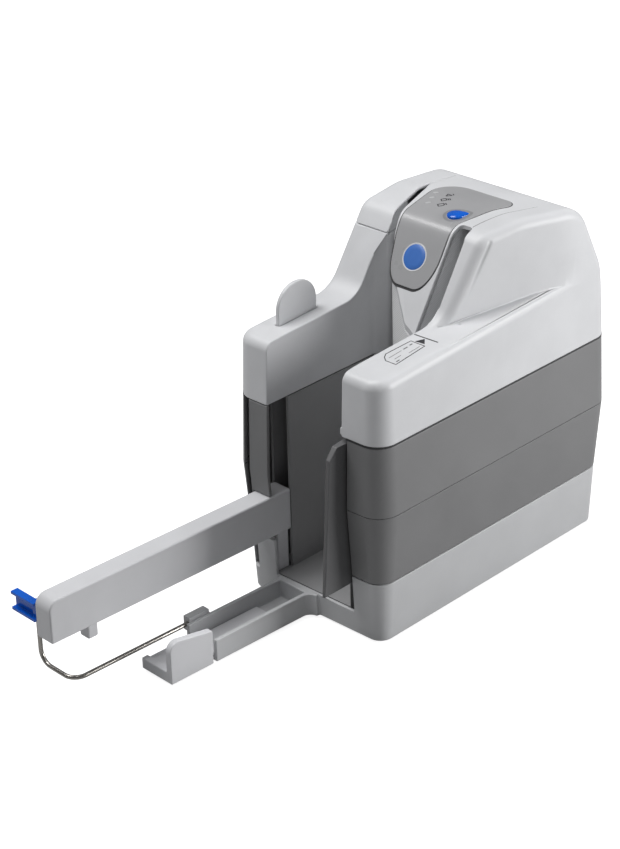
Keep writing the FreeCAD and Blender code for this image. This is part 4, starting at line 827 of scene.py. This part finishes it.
# Lamp windows and the small marks beside them, in three steps along the panel. A window is an
# oval on a slant. A mark is drawn in strokes on axes that slant by MARK_SLANT.
LAMP_START, MARK_START, LAMP_STEP = Vector((134.2, 77.6)), Vector((136.6, 68.4)), Vector((6.8, 2.6))
LAMP_LENGTH, LAMP_WIDTH = 1.9 * Vector((0.8, -0.6)), 0.9 * Vector((1, 1))
LAMP_FOOT, LAMP_TOP, LAMP_SPACING, LAMP_CORNERS = 0.3, 0.75, 0.9, 20
MARK_SLANT, MARK_WIDTH = 0.8, 0.8
PANEL_MARKS = (
    ("sheet", ([(-1.6, -1.1), (1.0, -1.1), (1.6, -0.4), (1.6, 1.1), (-1.6, 1.1), (-1.6, -1.1)],
               [(2.6, -1), (2.6, 1)])),
    ("double", ([(-1.8, -0.9), (0.8, -0.9), (0.8, 1.1), (-1.8, 1.1), (-1.8, -0.9)],
                [(1.7, -1.2), (1.7, 0.8)], [(2.6, -1.5), (2.6, 0.5)])),
    ("alert", ([(-1.5, -1.1), (1.5, -1.1), (0, 1.4), (-1.5, -1.1)], [(2.4, -1), (2.4, 0.9)])),
)


def lamps_and_marks(crest):
    """Three oval lamp windows with a small generic mark beside each."""
    turns = [2 * math.pi * k / LAMP_CORNERS for k in range(LAMP_CORNERS)]
    for step in range(len(PANEL_MARKS)):
        middle = LAMP_START + step * LAMP_STEP
        oval = [tuple(middle + LAMP_LENGTH * math.cos(a) + LAMP_WIDTH * math.sin(a))
                for a in turns]
        lens = patch("lamp_window_%d" % step, crest, oval, LAMP_FOOT, LAMP_TOP,
                     spacing=LAMP_SPACING)
        shade(lens, angle=40)
        dress(lens, "lamp_clear", "housing", *([] if step else ["lamp_windows"]))
    for step, (word, strokes) in enumerate(PANEL_MARKS):
        x, y = MARK_START + step * LAMP_STEP
        for k, stroke in enumerate(strokes):
            points = [(x + a + MARK_SLANT * b, y - MARK_SLANT * a + b) for a, b in stroke]
            line = ribbon("panel_mark_%s_%d" % (word, k), crest, points, MARK_WIDTH,
                          low=PRINT_AND_SHADE_FOOT, high=PRINT_AND_SHADE_TOP)
            dress(line, "bar_black", "housing", finish=MARK_INK)


# The loading mark's lines on the front shoulder: name, points, width, ink.
LOADING_LINES = (
    ("edge", [(31, 23.4), (34.8, 25.6), (57.5, 25), (57.5, 13.4), (28, 11.2), (28, 19.6),
              (31, 23.4)], 0.62, MARK_INK),
    ("stop", [(65.6, 29.3), (66.3, 10.2)], 1.0, MARK_INK),
    ("a", [(32, 20.4), (44, 20.9)], 0.42, MARK_FAINT),
    ("b", [(46, 21.0), (50, 21.2)], 0.9, MARK_FAINT),
    ("c", [(52.5, 21.6), (55, 21.7)], 1.0, MARK_FAINT),
    ("d", [(33, 16.6), (39, 16.9)], 0.42, MARK_FAINT),
    ("e", [(44.5, 15.2), (55, 15.6)], 0.42, MARK_FAINT),
    ("f", [(31, 13.4), (34, 13.6)], 0.9, MARK_FAINT),
)
LOADING_ARROW = [(58.6, 22.6), (64.8, 19.8), (59.4, 15.2)]
LOADING_FOOT, LOADING_TOP = -0.15, 0.07


def loading_mark(cover):
    """The printed guide on the shoulder: a page, an arrow and a stop line."""
    for word, points, width, ink in LOADING_LINES:
        line = ribbon("loading_mark_" + word, cover, points, width, low=LOADING_FOOT,
                      high=LOADING_TOP)
        dress(line, "bar_black", "housing", finish=ink)
    arrow = patch("loading_mark_arrow", cover, LOADING_ARROW, LOADING_FOOT, LOADING_TOP)
    dress(arrow, "bar_black", "housing", finish=MARK_INK)


SLOT_SEAM = [(124.6, 31.6), (131, 31), (140, 29.2), (150, 26.6), (162, 23.4), (176, 20.6)]
SLOT_SEAM_WIDTH, SLOT_SEAM_TAPER = 0.62, 0.7
SLOT_SEAM_FOOT, SLOT_SEAM_TOP = -0.3, 0.03


def slot_seam(cover):
    """The fine parting line that runs on from the end of the slot."""
    line = ribbon("slot_seam", cover, SLOT_SEAM,
                  lambda share: SLOT_SEAM_WIDTH * (1 - SLOT_SEAM_TAPER * share),
                  low=SLOT_SEAM_FOOT, high=SLOT_SEAM_TOP)
    dress(line, "cover_white", "housing", finish=SEAM_GREY)


# Dark strips of painted shadow in the grooves: name, node whose outline is followed, the height
# where the outline is taken, lowest and highest level, and depth below the face.
SEAM_SHADOW_STRIPS = (
    ("cover_seam_seal", "upper_band", 140, 143.7, 145.1, 0.03),
    ("band_seam_seal", "lower_band", 90, 94.85, 95.45, 0.08),
    ("cap_seam_seal", "rear_cap", 229.3, 228.2, 228.97, 0.02),
)
SEAM_SHADOW_THICKNESS = 1.1
CUT_TOLERANCE = 1e-7
CLOSED_GAP = 1e-3
SHORTEST_RUN, STRAIGHT_TURN, SHARPEST_SHARE = 0.02, 0.004, 0.35


def outer_loop(node, z):
    """The largest closed outline of a node at one height, in machine millimetres."""
    form = node_form(node)
    cut = bmesh.ops.bisect_plane(form, geom=form.verts[:] + form.edges[:] + form.faces[:],
                                 dist=CUT_TOLERANCE, plane_co=spot(0, 0, z), plane_no=UP)
    edges = {e for e in cut["geom_cut"] if isinstance(e, bmesh.types.BMEdge)}
    loops = []
    while edges:
        line = list(edges.pop().verts)
        onward = True
        while onward:
            onward = [e for e in line[-1].link_edges if e in edges][:1]
            for edge in onward:
                edges.discard(edge)
                line.append(edge.other_vert(line[-1]))
        loops.append([tuple((vert.co - BODY_CORNER).xy / MM) for vert in line])
    form.free()
    best = max(loops, key=lambda loop: abs(area(loop)))
    if math.dist(best[0], best[-1]) < CLOSED_GAP:
        best.pop()
    return best


def area(loop):
    """Area inside a closed line, less than none where it runs clockwise."""
    pairs = zip(loop, loop[1:] + loop[:1])
    return sum(a[0] * b[1] - b[0] * a[1] for a, b in pairs) / 2


def drawn_in(loop, depth):
    """The same outline, straight runs cleaned up and moved inwards."""
    tidy = []
    for index, point in enumerate(loop):
        here = Vector(point)
        back, ahead = Vector(loop[index - 1]) - here, Vector(loop[(index + 1) % len(loop)]) - here
        if min(back.length, ahead.length) > SHORTEST_RUN:
            if abs(back.angle(ahead) - math.pi) > STRAIGHT_TURN:
                tidy.append(here)
    hand = 1 if area(loop) > 0 else -1
    moved = []
    for index, here in enumerate(tidy):
        back = (here - tidy[index - 1]).normalized()
        ahead = (tidy[(index + 1) % len(tidy)] - here).normalized()
        normal = (back + ahead).orthogonal().normalized() * hand
        share = max(SHARPEST_SHARE, normal.dot(back.orthogonal() * hand))
        moved.append(here + normal * (depth / share))
    return moved


def seam_shadow_strip(name, node, z, low, high, depth):
    """A dark strip of painted shadow in the groove between two mouldings, a little below their faces.
    """
    form = bmesh.new()
    loop = outer_loop(node, z)
    inner = depth + SEAM_SHADOW_THICKNESS
    rows = [[form.verts.new(spot(*place, level)) for place in drawn_in(loop, inset)]
            for inset, level in ((depth, low), (depth, high), (inner, high), (inner, low))]
    for here, there in zip(rows, rows[1:] + rows[:1]):
        wrap(form, here, there)
    dress(new_piece(name, form), "bar_black", "housing", finish=SHADOW_LINE)


# The wire's corners in the pocket (along, across, z), its radius and the radius of its bends.
WIRE_CORNERS = ((-61, 30.9, 16), (-172, 30.9, 16), (-172, 63.2, 16), (-172, 63.2, 52))
WIRE_RADIUS, WIRE_BEND = 1.5, 9


def stop_wire():
    """The bright wire that carries the stop, bent out under the arm."""
    points = [tray_spot(*corner) for corner in WIRE_CORNERS]
    wire = tube("bent_stop_wire", points, WIRE_RADIUS * MM, WIRE_BEND * MM)
    shade(wire, angle=40)
    dress(wire, "steel", "stop", "stop_wire", finish=WIRE_STEEL)


def loose_places(node):
    """The middle, low corner and high corner of each of a node's separate solids."""
    form = node_form(node)
    seen, places = set(), []
    for vert in form.verts:
        if vert in seen:
            continue
        group, waiting = [], [vert]
        seen.add(vert)
        while waiting:
            here = waiting.pop()
            group.append(here.co.copy())
            for edge in here.link_edges:
                other = edge.other_vert(here)
                if other not in seen:
                    seen.add(other)
                    waiting.append(other)
        low, high = (Vector([pick(axis) for axis in zip(*group)]) for pick in (min, max))
        places.append(((low + high) / 2, low, high))
    form.free()
    return places


class Repeat(Tree):
    """A Geometry Nodes tree that sets a small form on each point of a mesh."""

    def __init__(self, name, **sizes):
        super().__init__(bpy.data.node_groups.new(name, "GeometryNodeTree"))
        face = self.tree.interface
        face.new_socket("Geometry", in_out="OUTPUT", socket_type="NodeSocketGeometry")
        face.new_socket("Geometry", in_out="INPUT", socket_type="NodeSocketGeometry")
        self.inputs = {}
        for word, value in sizes.items():
            socket = face.new_socket(word, in_out="INPUT", socket_type="NodeSocketFloat")
            self.inputs[socket.identifier] = value * MM
        self.start = self.add("NodeGroupInput")
        self.end = self.add("NodeGroupOutput")

    def sized(self, word):
        """The tree's input with this name."""
        return self.start.outputs[word]

    def vector(self, *parts):
        """A vector from three outputs or plain numbers."""
        return self.add("ShaderNodeCombineXYZ", dict(enumerate(parts))).outputs[0]

    def block(self, *sides):
        """A box with these sides."""
        return self.add("GeometryNodeMeshCube", {"Size": self.vector(*sides)}).outputs["Mesh"]

    def finish(self, form, material, turn=None):
        """Sets the form on every point, at its turn, and makes it all one mesh of a material."""
        on = self.add("GeometryNodeInstanceOnPoints",
                      {"Points": self.start.outputs["Geometry"], "Instance": form})
        if turn is not None:
            self.feed(turn, on.inputs["Rotation"])
        whole = self.add("GeometryNodeRealizeInstances", {0: on.outputs["Instances"]})
        paint = self.add("GeometryNodeSetMaterial",
                         {"Geometry": whole.outputs[0], "Material": material})
        self.feed(paint.outputs[0], self.end.inputs[0])

    def made(self, name, points, turns=None):
        """A plain mesh of the tree's result on these points."""
        cloud = bpy.data.meshes.new(name + "_points")
        cloud.from_pydata([tuple(p) for p in points], [], [])
        if turns:
            spin = cloud.attributes.new("turn", "FLOAT_VECTOR", "POINT")
            for item, turn in zip(spin.data, turns):
                item.vector = turn
        holder = linked(name + "_points", cloud)
        modifier = holder.modifiers.new("repeat", "NODES")
        modifier.node_group = self.tree
        for identifier, value in self.inputs.items():
            modifier[identifier] = value
        graph = bpy.context.evaluated_depsgraph_get()
        mesh = bpy.data.meshes.new_from_object(holder.evaluated_get(graph), depsgraph=graph)
        mesh.name = name
        bpy.data.objects.remove(holder)
        piece = linked(name, mesh)
        shade(piece, angle=30)
        return piece


# The cross recess: length of a bar in screw radii, and how far each bar's middle lies below
# the head's, in head heights. They differ a little, so that no two cut faces coincide.
CROSS_LENGTH, CROSS_SINKS = 1.25, (-0.5, -0.53)
SCREW_SIDES = 28


def base_screws():
    """Pan head screws with a cross recess, one under each corner of the base."""
    rule = Repeat("cross_head_screws", radius=2.4, height=1.2, slot=0.75, depth=0.8)
    head = rule.add("GeometryNodeMeshCylinder", {
        "Vertices": SCREW_SIDES, "Radius": rule.sized("radius"), "Depth": rule.sized("height")})
    left = head.outputs["Mesh"]
    sides = rule.times(rule.sized("radius"), CROSS_LENGTH), rule.sized("slot")
    for sink, bar_sides in zip(CROSS_SINKS, (sides, sides[::-1])):
        down = rule.vector(0, 0, rule.times(rule.sized("height"), sink))
        bar = rule.add("GeometryNodeTransform", {
            "Geometry": rule.block(*bar_sides, rule.sized("depth")), "Translation": down})
        cut = rule.add("GeometryNodeMeshBoolean", {"Mesh 1": left, "Mesh 2": bar.outputs[0]},
                       operation="DIFFERENCE")
        left = cut.outputs["Mesh"]
    rule.finish(left, FINISHES["steel"])
    heads = rule.made("base_screw_heads", [middle for middle, _, _ in loose_places("base_screws")])
    dress(heads, "steel", "housing", "base_screws")


RIB_COUNT, RIB_WIDTH, RIB_DEPTH, RIB_SINK, RIB_SHARE = 40, 0.45, 0.24, 0.08, 0.94


def tyre_ribs(node):
    """Fine grip ribs round each rubber tyre of a roller."""
    for index, (centre, low, high) in enumerate(loose_places(node)):
        rule = Repeat("ribs_of_%s_%d" % (node, index), width=RIB_WIDTH, depth=RIB_DEPTH,
                      length=(high.z - low.z) * RIB_SHARE / MM)
        turn = rule.add("GeometryNodeInputNamedAttribute", {"Name": "turn"},
                        data_type="FLOAT_VECTOR").outputs["Attribute"]
        rule.finish(rule.block(*(rule.sized(word) for word in ("depth", "width", "length"))),
                    FINISHES["roller_rubber"],
                    rule.add("FunctionNodeEulerToRotation", {0: turn}).outputs[0])
        reach = (high.x - low.x) / 2 - RIB_SINK * MM
        angles = [2 * math.pi * k / RIB_COUNT for k in range(RIB_COUNT)]
        spots = [centre + Vector((math.cos(a), math.sin(a), 0)) * reach for a in angles]
        ribs = rule.made("%s_ribs_%d" % (node, index), spots, [(0, 0, a) for a in angles])
        dress(ribs, "roller_rubber", BODIES[node])


LEG_COUNT, LEG_ROW, LEG_REACH = 5, 0.4, 1.4
CHIP_COLUMNS, CHIP_ROWS, CHIP_LIFT = 6, 3, 0.4


def board_parts():
    """Small chips and their legs in rows on the circuit board."""
    rule = Repeat("board_chips", long=5.2, wide=3.4, tall=1.0, legs=0.35)
    chip = rule.block(rule.sized("long"), rule.sized("tall"), rule.sized("wide"))
    leg = rule.block(rule.sized("legs"), rule.sized("legs"),
                     rule.times(rule.sized("wide"), LEG_REACH))
    end = rule.times(rule.sized("long"), LEG_ROW)
    start = rule.times(end, -1)
    row = rule.add("GeometryNodeMeshLine", {
        "Count": LEG_COUNT, "Start Location": rule.vector(start, 0, 0),
        "Offset": rule.vector(end, 0, 0)}, mode="END_POINTS")
    legs = rule.add("GeometryNodeInstanceOnPoints", {"Points": row.outputs["Mesh"], "Instance": leg})
    both = rule.add("GeometryNodeJoinGeometry")
    for part in (chip, legs.outputs["Instances"]):
        rule.feed(part, both.inputs[0])
    rule.finish(both.outputs[0], FINISHES["bar_black"])
    _, low, high = loose_places("circuit_board")[0]
    size = high - low
    face = low.y - CHIP_LIFT * MM
    places = [Vector((low.x + size.x * i / CHIP_COLUMNS, face, low.z + size.z * k / CHIP_ROWS))
              for i in range(1, CHIP_COLUMNS) for k in range(1, CHIP_ROWS)]
    dress(rule.made("board_chip_rows", places), "bar_black", "housing")


for row in MOULDINGS:
    moulding(*row)
ISLAND, COVER = Crest("main_cover"), Skin("main_cover")
panel(ISLAND)
button(ISLAND)
badge(ISLAND)
lamps_and_marks(ISLAND)
loading_mark(COVER)
slot_seam(COVER)
# Painted shadow in the seams between the mouldings.
for row in SEAM_SHADOW_STRIPS:
    seam_shadow_strip(*row)
stop_wire()
base_screws()
for tyres in ("feed_tyres", "front_drive_tyres", "rear_drive_tyres"):
    tyre_ribs(tyres)
board_parts()
for node, thing in nodes.items():
    if not thing.hide_render:
        thing.data.materials.clear()
        thing.data.materials.append(FINISHES_BY_NODE.get(node) or FINISHES[SLOTS[node]])

# The stage, in metres and watts. The camera's turn, tip, roll and place were fitted to the
# machine's edges in the photograph.
CAMERA_TURN, CAMERA_TIP, CAMERA_ROLL = (math.radians(angle) for angle in (-45.71, 27.18, -1.54))
CAMERA_PLACE = Vector((-0.98656, -0.95693, 0.8338))
CAMERA_LENS, CAMERA_SENSOR, CAMERA_FAR = 102.22, 36, 20
FLOOR_REACH = 6.0
FLOOR_DARK, FLOOR_BRIGHT, FLOOR_LIFT = (0.44, 0.44, 0.44), (0.46, 0.46, 0.46), 0.90
WORLD_COLOUR, WORLD_LIGHT = (0.95, 0.97, 1.0, 1), 0.12
# Lamps: name, place, the point that they face, side of the square, power.
LAMPS = (
    ("overhead_softbox", (-0.28, 0.46, 1.65), (0.05, 0, 0.1), 1.1, 26),
    ("right_softbox", (0.8, -1.05, 0.42), (0.1, 0, 0.14), 0.7, 14),
)


def looking_rays(work):
    """One for rays that only look, so that the page behind the object is white."""
    path = work.add("ShaderNodeLightPath").outputs
    either = {0: path["Is Camera Ray"], 1: path["Is Transmission Ray"]}
    return work.add("ShaderNodeMath", either, operation="MAXIMUM").outputs[0]


def pale_floor():
    """A floor that keeps the object's shadow."""
    mesh = bpy.data.meshes.new("pale_floor")
    corners = [(x * FLOOR_REACH, y * FLOOR_REACH, 0) for x, y in ((-1, -1), (1, -1), (1, 1), (-1, 1))]
    mesh.from_pydata(corners, [], [(0, 1, 2, 3)])
    f = Finish("floor_paper")
    paper = f.between(f.spread(f.noise(scale=3), NOISE_RANGE), FLOOR_DARK, FLOOR_BRIGHT)
    f.set(Base_Color=paper, Roughness=0.9, Specular_IOR_Level=0.1, Emission_Color=WHITE,
          Emission_Strength=f.times(looking_rays(f), FLOOR_LIFT))
    mesh.materials.append(f.material)
    linked("pale_floor", mesh)


def studio_world():
    """Faint even light from all round, and a white page to look at."""
    world = bpy.data.worlds.new("studio")
    bpy.context.scene.world = world
    world.use_nodes = True
    work = Tree(world.node_tree)
    plain = world.node_tree.nodes["Background"]
    work.feed(WORLD_COLOUR, plain.inputs["Color"])
    work.feed(WORLD_LIGHT, plain.inputs["Strength"])
    page = work.add("ShaderNodeBackground", {"Color": WHITE})
    mix = work.add("ShaderNodeMixShader", {"Fac": looking_rays(work), 1: plain.outputs[0],
                                           2: page.outputs[0]})
    work.feed(mix.outputs[0], world.node_tree.nodes["World Output"].inputs["Surface"])


def softbox(name, place, towards, side, watts):
    """A square area lamp that faces a point."""
    light = bpy.data.lights.new(name, "AREA")
    light.size = side
    light.energy = watts
    lamp = linked(name, light)
    lamp.location = place
    lamp.rotation_euler = (Vector(towards) - Vector(place)).to_track_quat("-Z", "Y").to_euler()


def photograph_camera():
    """The photograph's viewpoint."""
    level = math.cos(CAMERA_TIP)
    ahead = Vector((-math.sin(CAMERA_TURN) * level, math.cos(CAMERA_TURN) * level,
                    -math.sin(CAMERA_TIP)))
    right = Vector((math.cos(CAMERA_TURN), math.sin(CAMERA_TURN), 0))
    above = right.cross(ahead)
    across = math.cos(CAMERA_ROLL) * right + math.sin(CAMERA_ROLL) * above
    upward = -math.sin(CAMERA_ROLL) * right + math.cos(CAMERA_ROLL) * above
    view = bpy.data.cameras.new("photograph_camera")
    view.sensor_width = CAMERA_SENSOR
    view.lens = CAMERA_LENS
    view.clip_end = CAMERA_FAR
    camera = linked("photograph_camera", view)
    pose = Matrix((across, upward, -ahead)).transposed().to_4x4()
    pose.translation = CAMERA_PLACE
    camera.matrix_world = pose
    bpy.context.scene.camera = camera


photograph_camera()
pale_floor()
studio_world()
for row in LAMPS:
    softbox(*row)
bpy.context.scene.view_settings.view_transform = "Standard"
